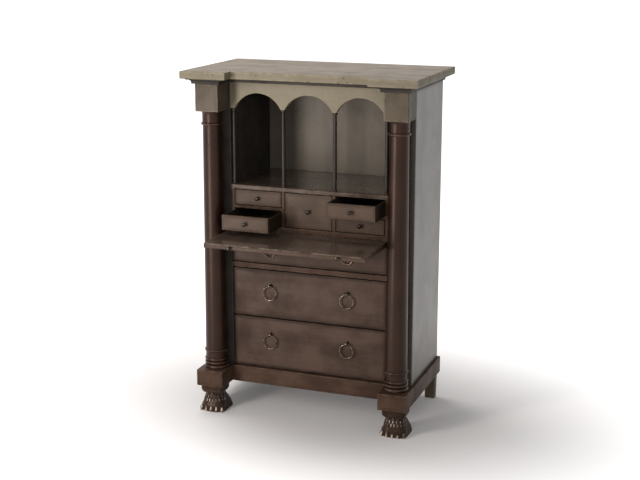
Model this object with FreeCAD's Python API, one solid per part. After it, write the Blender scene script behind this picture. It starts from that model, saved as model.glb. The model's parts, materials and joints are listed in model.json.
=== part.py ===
import FreeCAD, Part
import math
import os

from FreeCAD import Vector

# Frame: X to the right, Y to the back, Z up, origin on the floor under the middle of the outline.
# The writing slide and two small drawers stand open, as they rest. All lengths are millimetres.

# Whole object
height = 1320.0
slab_width = 900.0
slab_depth = 508.0
slab_thickness = 28.0
slab_edge_round = 2.0
slab_end_width = 180.0
slab_recess = 48.0

# Carcase
carcase_width = 818.0
carcase_depth = 374.0
back_overhang = 16.0
panel_thickness = 20.0
stile_thickness = 20.0
opening_ledge = 6.5
back_thickness = 8.0
sub_top_thickness = 20.0

# Cornice moulding, planted on the edge of the sub-top
cornice_foot = 9.0
cornice_foot_height = 4.0
cornice_reach = 26.0
cornice_lip_height = 4.0
cornice_lip = 3.0

# Capitals, columns and plinths
capital_width = 92.0
capital_depth = 94.0
capital_height = 103.0
column_foot_radius = 41.0
column_head_radius = 35.0
column_neck_radius = 36.5
column_bead_radius = 45.0
column_head_bead_radius = 41.5
column_torus_radius = 46.0
column_torus_height = 15.0
column_ring_height = 12.0
column_bead_height = 11.0
column_groove = 2.5
column_drum_height = 24.0
column_neck_height = 42.0
column_flare_height = 14.0
plinth_ledge = 6.0
base_ledge = 11.0
plinth_reach = 111.0
plinth_seat = 10.0
plinth_height = 64.0

# Base frame
base_front_ledge = 12.0
base_front_thickness = 22.0
base_side_thickness = 28.0
base_back_thickness = 20.0
base_back_inset = 6.0
bottom_thickness = 16.0
corner_block_leg = 45.0

# Feet
foot_height = 106.0
back_foot_width = 44.0
back_foot_depth = 30.0
back_foot_inset = 5.0
back_foot_side_inset = 10.0
back_foot_taper = 5.0
paw_shift = 4.0
paw_width = 108.0
paw_depth = 132.0
paw_setback = 15.0
cuff_width = 90.0
cuff_depth = 78.0
cuff_round = 12.0
cuff_height_shares = (1.0, 0.80, 0.69)
cuff_size_shares = (1.0, 0.98, 0.86)
leg_height_shares = (0.72, 0.60, 0.44, 0.22, 0.0)
leg_width_shares = (0.63, 0.65, 0.74, 0.87, 0.945)
leg_depth_shares = (0.485, 0.519, 0.678, 0.856, 0.924)
leg_forward_shares = (-0.011, -0.028, -0.0625, -0.0985, -0.125)
leg_round_share = 0.34
toe_count = 5
toe_half_length = 14.0
toe_radius = 10.5
toe_fan_angle = 5.0
toe_inset = 3.5
toe_setback = 1.6
toe_droop_angle = 30.0
knuckle_half_length = 13.0
knuckle_radius = 9.6
knuckle_back = 11.0
knuckle_rise = 10.5
knuckle_droop_angle = 48.0
claw_root = 8.5
claw_length = 8.0
claw_radius = 3.4
claw_tip_radius = 0.8
claw_drop = 2.5
claw_droop_angle = 50.0
tuft_counts = (5, 6)
tuft_height_shares = (0.62, 0.50)
tuft_width_shares = (0.64, 0.70)
tuft_depth_shares = (0.55, 0.64)
tuft_half_length = 9.0
tuft_radius = 7.0
tuft_sink = 1.5
tuft_sweep_angle = 96.0
tuft_droop_angle = 60.0
tuft_squareness = 2.7

# Long drawers, from the bottom up
drawer_reveal = 2.0
side_reveal = 1.5
bottom_drawer_height = 200.5
middle_drawer_height = 188.5
top_drawer_height = 107.0
drawer_rail_height = 20.0
front_thickness = 20.0
box_side_thickness = 12.0
box_back_thickness = 10.0
box_bottom_thickness = 6.0
box_bottom_rise = 8.0
box_inset = 8.0
box_top_drop = 14.0
box_back_room = 12.0
runner_thickness = 12.0
runner_overlap = 18.0
guide_width = 20.0
guide_height = 25.0
pull_spacing = 310.0
pull_height_shares = (0.666, 0.664, 0.781)

# Ring pulls
ring_diameter = 58.0
ring_wire = 5.0
ring_standoff = 10.0
eye_radius = 3.2
post_ball_radius = 7.2
post_ball_rise = 3.0
post_stem_radius = 4.0
post_rose_radius = 8.5
post_rose_thickness = 2.0

# Writing slide
slide_thickness = 18.0
slide_reach = 253.0
slide_under_gap = 4.0
slide_back_room = 10.0
slide_edge_round = 3.0
slide_bed_thickness = 11.7
slide_knob_spacing = 412.0

# Small drawers and gallery
nest_setback = 1.0
nest_floor_thickness = 17.7
lower_cell_height = 62.5
upper_cell_height = 62.0
cell_rail_thickness = 11.0
nest_side_thickness = 12.0
partition_thickness = 12.0
partition_spacing = 202.0
small_reveal = 1.5
small_front_thickness = 12.0
small_side_thickness = 7.0
small_bottom_thickness = 4.0
small_bottom_rise = 4.0
small_box_drop = 6.0
small_box_back_room = 30.0
lower_left_opened = 124.0
upper_right_opened = 111.0
shelf_thickness = 17.0
shelf_nosing = 5.0
arcade_height = 97.0
arcade_thickness = 18.0
arch_rise = 58.5
colonnette_radius = 7.5
colonnette_cap_radius = 10.0
colonnette_cap_height = 9.0
colonnette_waist_share = 0.86

# Turned knobs
knob_radius = 8.0
knob_length = 16.0
knob_stem_radius = 3.8
knob_base_radius = 5.5
knob_base_length = 2.5
knob_head_length = 8.5
slide_knob_radius_share = 0.94

# Clearances, the length by which a cutting body runs past what it cuts, and the play in picking an edge
slide_gap = 0.3
side_gap = 0.5
overrun = 5.0
edge_tolerance = 0.01

# Levels
slab_z = height - slab_thickness
cornice_z = slab_z - sub_top_thickness
capital_z = cornice_z - capital_height
base_z = foot_height + plinth_height
bottom_front_z = base_z + drawer_reveal
middle_front_z = bottom_front_z + bottom_drawer_height + drawer_reveal
rail_z = middle_front_z + middle_drawer_height + drawer_reveal
rail_top_z = rail_z + drawer_rail_height
top_front_z = rail_top_z + drawer_reveal
slide_z = top_front_z + top_drawer_height + slide_under_gap
bed_top_z = slide_z - slide_gap
bed_z = bed_top_z - slide_bed_thickness
nest_floor_z = slide_z + slide_thickness + slide_gap
nest_z = nest_floor_z + nest_floor_thickness
cell_rail_z = nest_z + lower_cell_height
upper_cell_z = cell_rail_z + cell_rail_thickness
shelf_z = upper_cell_z + upper_cell_height
gallery_z = shelf_z + shelf_thickness
spring_z = cornice_z - arcade_height
middle_runner_z = middle_front_z - drawer_reveal / 2

# Depths
outline_depth = carcase_depth + slide_reach + knob_length
back_y = outline_depth / 2
front_y = back_y - carcase_depth
slab_front_y = back_y - slab_depth
carcase_back_y = back_y - back_overhang
panel_back_y = carcase_back_y - back_thickness
stile_back_y = front_y + stile_thickness
column_y = front_y - capital_depth / 2
plinth_front_y = front_y - plinth_reach
plinth_back_y = front_y + plinth_seat
base_back_y = back_y - base_back_inset
nest_y = front_y + nest_setback

# Widths from the middle plane
slab_x = slab_width / 2
carcase_x = carcase_width / 2
inner_x = carcase_x - panel_thickness
opening_x = carcase_x - capital_width - opening_ledge
column_x = carcase_x - capital_width / 2
partition_x = partition_spacing / 2
end_colonnette_x = opening_x - colonnette_cap_radius - side_gap

SIDES = (("left", -1), ("right", 1))


def box(x0, x1, y0, y1, z0, z1):
    """A board between two corners, given in any order."""
    low = Vector(min(x0, x1), min(y0, y1), min(z0, z1))
    return Part.makeBox(abs(x1 - x0), abs(y1 - y0), abs(z1 - z0), low)


def plate(points, z0, z1):
    """A flat board with a straight-edged outline."""
    corners = [Vector(x, y, z0) for x, y in points]
    face = Part.Face(Part.makePolygon(corners + corners[:1]))
    return face.extrude(Vector(0, 0, z1 - z0))


def long_edges_at(board, y):
    """The level edges of a board that lie at a given depth."""
    edges = [e for e in board.Edges if all(abs(v.Y - y) < edge_tolerance for v in e.Vertexes)]
    return [e for e in edges if abs(e.Vertexes[0].Z - e.Vertexes[1].Z) < edge_tolerance]


def mirrored(points):
    """Closes a right-hand outline, given from front to back, with its mirror image."""
    return points + [(-x, y) for x, y in reversed(points)]


def pair(shape):
    """A piece of the right-hand side and its twin on the left."""
    return Part.makeCompound([shape, shape.mirror(Vector(0, 0, 0), Vector(1, 0, 0))])


def turned(profile, axis_x, axis_y):
    """A solid turned about an upright axis. The profile is edges from the axis, up, and back to it."""
    wire = Part.Wire(profile)
    solid = Part.Face(wire).revolve(Vector(0, 0, 0), Vector(0, 0, 1), 360)
    solid.translate(Vector(axis_x, axis_y, 0))
    return solid


def line(start, end):
    """A straight profile edge in the turning plane, between points of radius and level."""
    return Part.makeLine(Vector(start[0], 0, start[1]), Vector(end[0], 0, end[1]))


def bulge(start, end, reach):
    """A round profile edge whose middle lies at a given radius."""
    middle = Vector(reach, 0, (start[1] + end[1]) / 2)
    return Part.Arc(Vector(start[0], 0, start[1]), middle, Vector(end[0], 0, end[1])).toShape()


def stacked(parts, z):
    """Profile edges from a list of (height, foot radius, head radius, middle radius or None)."""
    edges = []
    radius = parts[0][1]
    edges.append(line((0, z), (radius, z)))
    for rise, foot, head, middle in parts:
        if abs(foot - radius) > 0:
            edges.append(line((radius, z), (foot, z)))
        top = z + rise
        if middle is None:
            edges.append(line((foot, z), (head, top)))
        else:
            edges.append(bulge((foot, z), (head, top), middle))
        radius = head
        z = top
    edges.append(line((radius, z), (0, z)))
    edges.append(line((0, z), (0, edges[0].Vertexes[0].Z)))
    return edges


def turned_out(edges, x, y, z):
    """A solid turned about a level axis, which stands out of a face to the front. Its seam lies on top."""
    solid = Part.Face(Part.Wire(edges)).revolve(Vector(0, 0, 0), Vector(0, 0, 1), 360)
    solid.rotate(Vector(0, 0, 0), Vector(0, 0, 1), 90)
    solid.rotate(Vector(0, 0, 0), Vector(1, 0, 0), 90)
    solid.translate(Vector(x, y, z))
    return solid


def knob(radius, x, y, z):
    """A turned mushroom knob on a front face, standing out towards the front."""
    neck = knob_length - knob_base_length - knob_head_length
    parts = [(knob_base_length, knob_base_radius, knob_base_radius, None),
             (neck, knob_stem_radius, knob_stem_radius, None),
             (knob_head_length / 2, knob_stem_radius, radius, None)]
    edges = stacked(parts, 0)[:-2]
    dome = knob_head_length / 2
    curve = (radius ** 2 + dome ** 2) / (2 * dome)
    half_turn = math.asin(radius / curve) / 2
    centre_z = knob_length - curve
    crown = Vector(0, 0, knob_length)
    middle = Vector(curve * math.sin(half_turn), 0, centre_z + curve * math.cos(half_turn))
    edges.append(Part.Arc(Vector(radius, 0, knob_length - dome), middle, crown).toShape())
    edges.append(Part.makeLine(crown, Vector(0, 0, 0)))
    return turned_out(edges, x, y, z)


def top_slab():
    """Top board whose middle stands back from its two ends."""
    step_x = slab_x - slab_end_width
    recess_y = slab_front_y + slab_recess
    outline = mirrored([(step_x, recess_y), (step_x, slab_front_y), (slab_x, slab_front_y), (slab_x, back_y)])
    slab = plate(outline, slab_z, height)
    rims = [e for e in slab.Edges if all(abs(v.Z - height) < edge_tolerance for v in e.Vertexes)]
    return slab.makeFillet(slab_edge_round, rims)


def sub_top_outline():
    """Right half of the sub-top's outline: carcase front, capital, side."""
    capital_inner_x = carcase_x - capital_width
    capital_front_y = front_y - capital_depth
    return [(capital_inner_x, front_y), (capital_inner_x, capital_front_y),
            (carcase_x, capital_front_y), (carcase_x, carcase_back_y)]


def cornice_moulding():
    """Cove moulding that follows the front and the sides of the sub-top, mitred at each corner."""
    path_points = mirrored(sub_top_outline())
    path_points = path_points[4:] + path_points[:4]
    path = Part.makePolygon([Vector(x, y, cornice_z) for x, y in path_points])
    start_x = path_points[0][0]
    lip_z = slab_z - cornice_lip_height
    cove_foot_z = cornice_z + cornice_foot_height
    cove_reach = cornice_reach - cornice_lip
    cove_middle = (cornice_foot + (cove_reach - cornice_foot) * (1 - math.sqrt(0.5)),
                   cove_foot_z + (lip_z - cove_foot_z) * math.sqrt(0.5))

    def point(reach, z):
        return Vector(start_x - reach, carcase_back_y, z)

    edges = [Part.makeLine(point(0, cornice_z), point(cornice_foot, cornice_z)),
             Part.makeLine(point(cornice_foot, cornice_z), point(cornice_foot, cove_foot_z)),
             Part.Arc(point(cornice_foot, cove_foot_z), point(*cove_middle),
                      point(cove_reach, lip_z)).toShape(),
             Part.makeLine(point(cove_reach, lip_z), point(cornice_reach, lip_z)),
             Part.makeLine(point(cornice_reach, lip_z), point(cornice_reach, slab_z)),
             Part.makeLine(point(cornice_reach, slab_z), point(0, slab_z)),
             Part.makeLine(point(0, slab_z), point(0, cornice_z))]
    return path.makePipeShell([Part.Wire(edges)], True, False, 1)


def column(side):
    """Turned column: two base rolls, a drum between beads, a tapering shaft, a bead and a flared neck."""
    groove_radius = column_foot_radius - column_groove
    neck_radius = column_neck_radius
    base = [(column_torus_height, column_foot_radius, column_foot_radius, column_torus_radius),
            (column_groove, groove_radius, groove_radius, None),
            (column_ring_height, column_foot_radius, column_foot_radius, column_bead_radius),
            (column_groove, groove_radius, groove_radius, None),
            (column_bead_height, column_foot_radius, column_foot_radius, column_bead_radius),
            (column_drum_height, column_foot_radius, column_foot_radius, None),
            (column_bead_height, column_foot_radius, column_foot_radius, column_bead_radius)]
    head = [(column_bead_height, column_head_radius, column_head_radius, column_head_bead_radius),
            (column_neck_height - column_flare_height, neck_radius, neck_radius, None),
            (column_flare_height, neck_radius, column_foot_radius, neck_radius)]
    spent = sum(row[0] for row in base + head)
    shaft_height = capital_z - base_z - spent
    shaft = [(shaft_height, column_foot_radius, column_head_radius, None)]
    return turned(stacked(base + shaft + head, base_z), side * column_x, column_y)


def colonnette(axis_x):
    """Small turned column of the gallery, swelling towards its middle."""
    waist = colonnette_radius * colonnette_waist_share
    shaft_height = spring_z - gallery_z - 2 * colonnette_cap_height
    rows = [(colonnette_cap_height, waist, waist, colonnette_cap_radius),
            (shaft_height, waist, waist, colonnette_radius),
            (colonnette_cap_height, waist, waist, colonnette_cap_radius)]
    return turned(stacked(rows, gallery_z), axis_x, nest_y + arcade_thickness / 2)


def rounded_section(width, depth, radius, x, y, z):
    """Closed outline of a rectangle with round corners."""
    a = width / 2 - radius
    b = depth / 2 - radius
    edges = []
    for quarter in range(4):
        turn = quarter * math.pi / 2
        cx = x + (a if quarter in (0, 3) else -a)
        cy = y + (b if quarter in (0, 1) else -b)
        ends = [turn, turn + math.pi / 4, turn + math.pi / 2]
        arc = [Vector(cx + radius * math.cos(t), cy + radius * math.sin(t), z) for t in ends]
        if edges:
            edges.append(Part.makeLine(edges[-1].lastVertex().Point, arc[0]))
        edges.append(Part.Arc(*arc).toShape())
    edges.append(Part.makeLine(edges[-1].lastVertex().Point, edges[0].firstVertex().Point))
    return Part.Wire(edges)


def spheroid(half_length, radius, direction, centre):
    """A solid egg of given half length and radius, with its long axis along a direction."""
    curve = Part.Ellipse(Vector(0, 0, 0), half_length, radius)
    arc = Part.ArcOfEllipse(curve, 0, math.pi).toShape()
    axis = Part.makeLine(Vector(-half_length, 0, 0), Vector(half_length, 0, 0))
    solid = Part.Face(Part.Wire([arc, axis])).revolve(Vector(0, 0, 0), Vector(1, 0, 0), 360)
    solid.Placement = FreeCAD.Placement(centre, FreeCAD.Rotation(Vector(1, 0, 0), direction))
    return solid


def aimed(turn, droop):
    """Unit vector that points to the front, turned to one side and tipped down, both in degrees."""
    side = math.radians(turn)
    fall = math.radians(droop)
    return Vector(math.sin(side) * math.cos(fall), -math.cos(side) * math.cos(fall), -math.sin(fall))


def paw_toes(x, tip_y):
    """Toes side by side: each a knuckle, a tip that rests on the floor, and a claw."""
    pitch = (paw_width - 2 * toe_radius) / (toe_count - 1)
    solids = []
    for number in range(toe_count):
        place = number - (toe_count - 1) / 2
        turn = toe_fan_angle * place
        tip = Vector(x + pitch * place, tip_y + toe_half_length + toe_setback * place ** 2, toe_radius)
        back = aimed(turn, 0) * -knuckle_back
        solids.append(spheroid(toe_half_length, toe_radius, aimed(turn, toe_droop_angle), tip))
        solids.append(spheroid(knuckle_half_length, knuckle_radius, aimed(turn, knuckle_droop_angle),
                               tip + back + Vector(0, 0, knuckle_rise)))
        root = tip + aimed(turn, 0) * claw_root - Vector(0, 0, claw_drop)
        solids.append(Part.makeCone(claw_radius, claw_tip_radius, claw_length, root,
                                    aimed(turn, claw_droop_angle)))
    return solids


def paw_tufts(x, y):
    """Rows of curled tufts of hair round the front and sides of the ankle."""
    solids = []
    rows = zip(tuft_counts, tuft_height_shares, tuft_width_shares, tuft_depth_shares)
    for count, high, wide, deep in rows:
        reach_x = paw_width * wide / 2 - tuft_sink
        reach_y = paw_depth * deep / 2 - tuft_sink
        for number in range(count):
            turn = tuft_sweep_angle * (2 * number / (count - 1) - 1)
            across = math.sin(math.radians(turn))
            ahead = math.cos(math.radians(turn))
            power = abs(across) ** tuft_squareness + abs(ahead) ** tuft_squareness
            stretch = power ** (-1 / tuft_squareness)
            centre = Vector(x + reach_x * across * stretch, y - reach_y * ahead * stretch, foot_height * high)
            solids.append(spheroid(tuft_half_length, tuft_radius, aimed(turn, tuft_droop_angle), centre))
    return solids


def paw_foot(side):
    """Carved paw: a cuff, a leg that swells to the heel, toes with claws, and rows of curled tufts."""
    x = side * (column_x + paw_shift)
    y = plinth_front_y + paw_setback + cuff_depth / 2
    cuff = Part.makeLoft([rounded_section(cuff_width * s, cuff_depth * s, cuff_round, x, y, foot_height * h)
                          for h, s in zip(cuff_height_shares, cuff_size_shares)], True)
    rows = zip(leg_height_shares, leg_width_shares, leg_depth_shares, leg_forward_shares)
    leg = Part.makeLoft([rounded_section(paw_width * w, paw_depth * d, paw_width * w * leg_round_share,
                                         x, y - paw_depth * f, foot_height * h)
                         for h, w, d, f in rows], True)
    ankle_y = y - paw_depth * leg_forward_shares[1]
    paw = cuff.multiFuse([leg] + paw_toes(x, plinth_front_y + toe_inset) + paw_tufts(x, ankle_y))
    ground = box(x - paw_width, x + paw_width, y - paw_depth, y + paw_depth, -foot_height, 0)
    return paw.cut(ground).removeSplitter()


def back_foot():
    """Plain foot that narrows a little towards the floor."""
    x = carcase_x + base_ledge - back_foot_side_inset - back_foot_width / 2
    y = base_back_y - back_foot_inset - back_foot_depth / 2
    corner_signs = ((1, 1), (-1, 1), (-1, -1), (1, -1), (1, 1))
    sections = []
    for z, taper in ((foot_height, 0), (0, back_foot_taper)):
        half_x = (back_foot_width - taper) / 2
        half_y = (back_foot_depth - taper) / 2
        corners = [Vector(x + a * half_x, y + b * half_y, z) for a, b in corner_signs]
        sections.append(Part.makePolygon(corners))
    return Part.makeLoft(sections, True, True)


def corner_blocks():
    """Triangular glue blocks in the four corners of the base, under the bottom board."""
    base_inner_x = carcase_x + base_ledge - base_side_thickness
    rail_back_y = front_y - base_front_ledge + base_front_thickness
    rear_y = base_back_y - base_back_thickness
    low = foot_height
    high = base_z - bottom_thickness
    blocks = []
    for corner_y, run in ((rear_y, -corner_block_leg), (rail_back_y, corner_block_leg)):
        leg = corner_block_leg
        points = [(base_inner_x, corner_y), (base_inner_x, corner_y + run), (base_inner_x - leg, corner_y)]
        blocks.append(pair(plate(points, low, high)))
    return Part.makeCompound(blocks)


def drawer_box(x0, x1, y0, y1, z0, z1, sides, back, bottom, rise):
    """Four boards of a drawer box behind its front: two sides, a back between them and a bottom."""
    boards = [box(x0, x0 + sides, y0, y1, z0, z1),
              box(x1 - sides, x1, y0, y1, z0, z1),
              box(x0 + sides, x1 - sides, y1 - back, y1, z0 + rise, z1),
              box(x0 + sides, x1 - sides, y0, y1 - back, z0 + rise, z0 + rise + bottom)]
    return Part.makeCompound(boards)


def pull_post(x, z):
    """Turned stud with a ball end. The ring runs through a hole across the ball."""
    stem_end = ring_standoff - math.sqrt(post_ball_radius ** 2 - post_stem_radius ** 2)
    parts = [(post_rose_thickness, post_rose_radius, post_rose_radius, None),
             (stem_end - post_rose_thickness, post_stem_radius, post_stem_radius, None)]
    edges = stacked(parts, 0)[:-2]
    crown = Vector(0, 0, ring_standoff + post_ball_radius)
    edges.append(Part.Arc(Vector(post_stem_radius, 0, stem_end), Vector(post_ball_radius, 0, ring_standoff),
                          crown).toShape())
    edges.append(Part.makeLine(crown, Vector(0, 0, 0)))
    post = turned_out(edges, x, front_y, z + post_ball_rise)
    half_hole = post_ball_radius + overrun
    hole = Part.makeCylinder(eye_radius, 2 * half_hole, Vector(x - half_hole, front_y - ring_standoff, z),
                             Vector(1, 0, 0))
    return post.cut(hole)


def ring(x, z):
    """Ring that hangs from its post, with its wire through the eye."""
    radius = (ring_diameter - ring_wire) / 2
    centre = Vector(x, front_y - ring_standoff, z - radius)
    return Part.makeTorus(radius, ring_wire / 2, centre, Vector(0, 1, 0))


def arcade_board():
    """Board over the gallery with three arches, which spring from the colonnettes."""
    feet = [-end_colonnette_x, -partition_x, partition_x, end_colonnette_x]
    edges = []
    here = Vector(-opening_x, nest_y, spring_z)
    for left, right in zip(feet[:-1], feet[1:]):
        start = Vector(left + colonnette_radius, nest_y, spring_z)
        crown = Vector((left + right) / 2, nest_y, spring_z + arch_rise)
        end = Vector(right - colonnette_radius, nest_y, spring_z)
        edges.append(Part.makeLine(here, start))
        edges.append(Part.Arc(start, crown, end).toShape())
        here = end
    corners = [here, Vector(opening_x, nest_y, spring_z), Vector(opening_x, nest_y, cornice_z),
               Vector(-opening_x, nest_y, cornice_z), Vector(-opening_x, nest_y, spring_z)]
    edges += [Part.makeLine(a, b) for a, b in zip(corners[:-1], corners[1:])]
    return Part.Face(Part.Wire(edges)).extrude(Vector(0, arcade_thickness, 0))


def runners_and_guides():
    """Runners that carry the two upper long drawers, and guides beside all three."""
    box_x = opening_x - box_inset
    boards = []
    for level in (middle_runner_z, rail_top_z):
        boards.append(pair(box(box_x - runner_overlap, inner_x, stile_back_y, panel_back_y,
                               level - runner_thickness, level)))
    for level in (base_z, middle_runner_z, rail_top_z):
        guide_x = box_x + side_gap
        boards.append(pair(box(guide_x, guide_x + guide_width, stile_back_y, panel_back_y,
                               level, level + guide_height)))
    return Part.makeCompound(boards)


def nest_boards():
    """Side boards, partitions and rails that make five cells for the small drawers."""
    side_x = opening_x - nest_side_thickness
    half = partition_thickness / 2
    boards = [pair(box(side_x, opening_x, nest_y, panel_back_y, nest_z, shelf_z)),
              pair(box(partition_x - half, partition_x + half, nest_y, panel_back_y, nest_z, shelf_z)),
              pair(box(partition_x + half, side_x, nest_y, panel_back_y, cell_rail_z, upper_cell_z))]
    return Part.makeCompound(boards)


def build_carcase(parts):
    """Fixed pieces."""
    parts["top_slab"] = top_slab()
    parts["sub_top"] = plate(mirrored(sub_top_outline()), cornice_z, slab_z)
    parts["cornice_moulding"] = cornice_moulding()
    parts["back_panel"] = box(-inner_x, inner_x, panel_back_y, carcase_back_y, base_z, cornice_z)
    parts["stiles"] = pair(box(opening_x, inner_x, front_y, stile_back_y, base_z, cornice_z))
    for name, side in SIDES:
        parts["side_panel_" + name] = box(side * inner_x, side * carcase_x, front_y, carcase_back_y,
                                          base_z, cornice_z)
        parts["column_" + name] = column(side)
        parts["paw_foot_" + name] = paw_foot(side)
    parts["capitals"] = pair(box(column_x - capital_width / 2, carcase_x, front_y - capital_depth, front_y,
                                 capital_z, cornice_z))
    rail_x = carcase_x - capital_width - plinth_ledge
    outer_x = carcase_x + base_ledge
    parts["plinths"] = pair(box(rail_x, outer_x, plinth_front_y, plinth_back_y,
                                foot_height, base_z))
    rail_y = front_y - base_front_ledge
    side_rail_x = outer_x - base_side_thickness
    rail_back_y = rail_y + base_front_thickness
    back_rail_y = base_back_y - base_back_thickness
    parts["base_front_rail"] = box(-rail_x, rail_x, rail_y, rail_back_y, foot_height, base_z)
    parts["base_rails"] = Part.makeCompound([
        pair(box(side_rail_x, outer_x, plinth_back_y, base_back_y, foot_height, base_z)),
        box(-side_rail_x, side_rail_x, back_rail_y, base_back_y, foot_height, base_z)])
    parts["bottom_board"] = box(-side_rail_x, side_rail_x, rail_back_y, back_rail_y,
                                base_z - bottom_thickness, base_z)
    parts["corner_blocks"] = corner_blocks()
    parts["back_feet"] = pair(back_foot())
    parts["drawer_rail"] = box(-opening_x, opening_x, front_y, stile_back_y, rail_z, rail_top_z)
    parts["drawer_runners"] = runners_and_guides()
    guide_x = opening_x - side_gap
    parts["slide_bed"] = Part.makeCompound([
        box(-inner_x, inner_x, stile_back_y, panel_back_y, bed_z, bed_top_z),
        pair(box(guide_x, inner_x, stile_back_y, panel_back_y, bed_top_z, nest_floor_z))])


def build_gallery(parts):
    """Fixed boards and small columns above the writing slide."""
    floor = mirrored([(opening_x, nest_y), (opening_x, stile_back_y),
                      (inner_x, stile_back_y), (inner_x, panel_back_y)])
    parts["nest_floor"] = plate(floor, nest_floor_z, nest_z)
    parts["nest_boards"] = nest_boards()
    nose_y = nest_y - shelf_nosing
    shelf = box(-opening_x, opening_x, nose_y, panel_back_y, shelf_z, gallery_z)
    parts["gallery_shelf"] = shelf.makeFillet(shelf_nosing, long_edges_at(shelf, nose_y))
    lining_y = nest_y + arcade_thickness / 2 + colonnette_cap_radius + side_gap
    parts["gallery_linings"] = pair(box(opening_x - nest_side_thickness, opening_x, lining_y, panel_back_y,
                                        gallery_z, cornice_z))
    parts["arcade_board"] = arcade_board()
    parts["colonnettes"] = Part.makeCompound([pair(colonnette(x)) for x in (partition_x, end_colonnette_x)])


def build_slide(parts):
    """Writing slide, drawn out as it rests, with a knob near each end of its front edge."""
    half = opening_x - 2 * side_gap
    edge_y = front_y - slide_reach
    depth = panel_back_y - slide_back_room - front_y
    board = box(-half, half, edge_y, edge_y + depth, slide_z, slide_z + slide_thickness)
    parts["writing_slide"] = board.makeFillet(slide_edge_round, long_edges_at(board, edge_y))
    z = slide_z + slide_thickness / 2
    radius = knob_radius * slide_knob_radius_share
    parts["slide_knobs"] = pair(knob(radius, slide_knob_spacing / 2, edge_y, z))


def build_small_drawers(parts):
    """Five small drawers. Two of them stand open."""
    side_x0 = partition_x + partition_thickness / 2
    side_x1 = opening_x - nest_side_thickness
    middle_x = partition_x - partition_thickness / 2
    cells = {"upper_left": (-side_x1, -side_x0, upper_cell_z, shelf_z, 0),
             "lower_left": (-side_x1, -side_x0, nest_z, cell_rail_z, lower_left_opened),
             "centre": (-middle_x, middle_x, nest_z, shelf_z, 0),
             "upper_right": (side_x0, side_x1, upper_cell_z, shelf_z, upper_right_opened),
             "lower_right": (side_x0, side_x1, nest_z, cell_rail_z, 0)}
    depth = panel_back_y - small_box_back_room - nest_y - small_front_thickness
    for name, (x0, x1, z0, z1, opened) in cells.items():
        y = nest_y - opened
        back = y + small_front_thickness
        parts["small_front_" + name] = box(x0 + small_reveal, x1 - small_reveal, y, back,
                                           z0 + small_reveal, z1 - small_reveal)
        gap = small_reveal - side_gap
        parts["small_box_" + name] = drawer_box(x0 + gap, x1 - gap, back, back + depth,
                                                z0 + slide_gap, z1 - small_box_drop,
                                                small_side_thickness, small_side_thickness,
                                                small_bottom_thickness, small_bottom_rise)
        parts["small_knob_" + name] = knob(knob_radius, (x0 + x1) / 2, y, (z0 + z1) / 2)


def build_long_drawers(parts):
    """Three long drawers with two ring pulls each."""
    levels = {"bottom": (bottom_front_z, bottom_drawer_height, base_z),
              "middle": (middle_front_z, middle_drawer_height, middle_runner_z),
              "top": (top_front_z, top_drawer_height, rail_top_z)}
    half = opening_x - side_reveal
    box_x = opening_x - box_inset
    for (name, (z, tall, ride)), share in zip(levels.items(), pull_height_shares):
        parts["drawer_front_" + name] = box(-half, half, front_y, front_y + front_thickness, z, z + tall)
        parts["drawer_box_" + name] = drawer_box(-box_x, box_x, front_y + front_thickness,
                                                 panel_back_y - box_back_room, ride + slide_gap,
                                                 z + tall - box_top_drop, box_side_thickness,
                                                 box_back_thickness, box_bottom_thickness, box_bottom_rise)
        eye_z = z + tall * share
        parts["pull_posts_" + name] = pair(pull_post(pull_spacing / 2, eye_z))
        for hand, side in SIDES:
            parts["ring_" + name + "_" + hand] = ring(side * pull_spacing / 2, eye_z)


def main():
    """Builds every piece and writes one file for each."""
    parts = {}
    build_carcase(parts)
    build_gallery(parts)
    build_slide(parts)
    build_small_drawers(parts)
    build_long_drawers(parts)
    os.makedirs("parts", exist_ok=True)
    for name, shape in parts.items():
        shape.exportStep("parts/" + name + ".step")
        print(name, len(shape.Solids), "solids", shape.isValid(), round(shape.Volume / 1000), "cm3")
    print(len(parts), "nodes")


main()
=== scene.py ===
"""Looks of a dark stained escritoire: columns, arcaded gallery, drawers, writing slide and paw feet.

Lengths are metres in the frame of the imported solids: X to the right, Y to the back, Z up, floor at zero.
"""
from __future__ import annotations

import json
import logging
import math
from dataclasses import dataclass, field, replace
from enum import Enum

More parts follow.
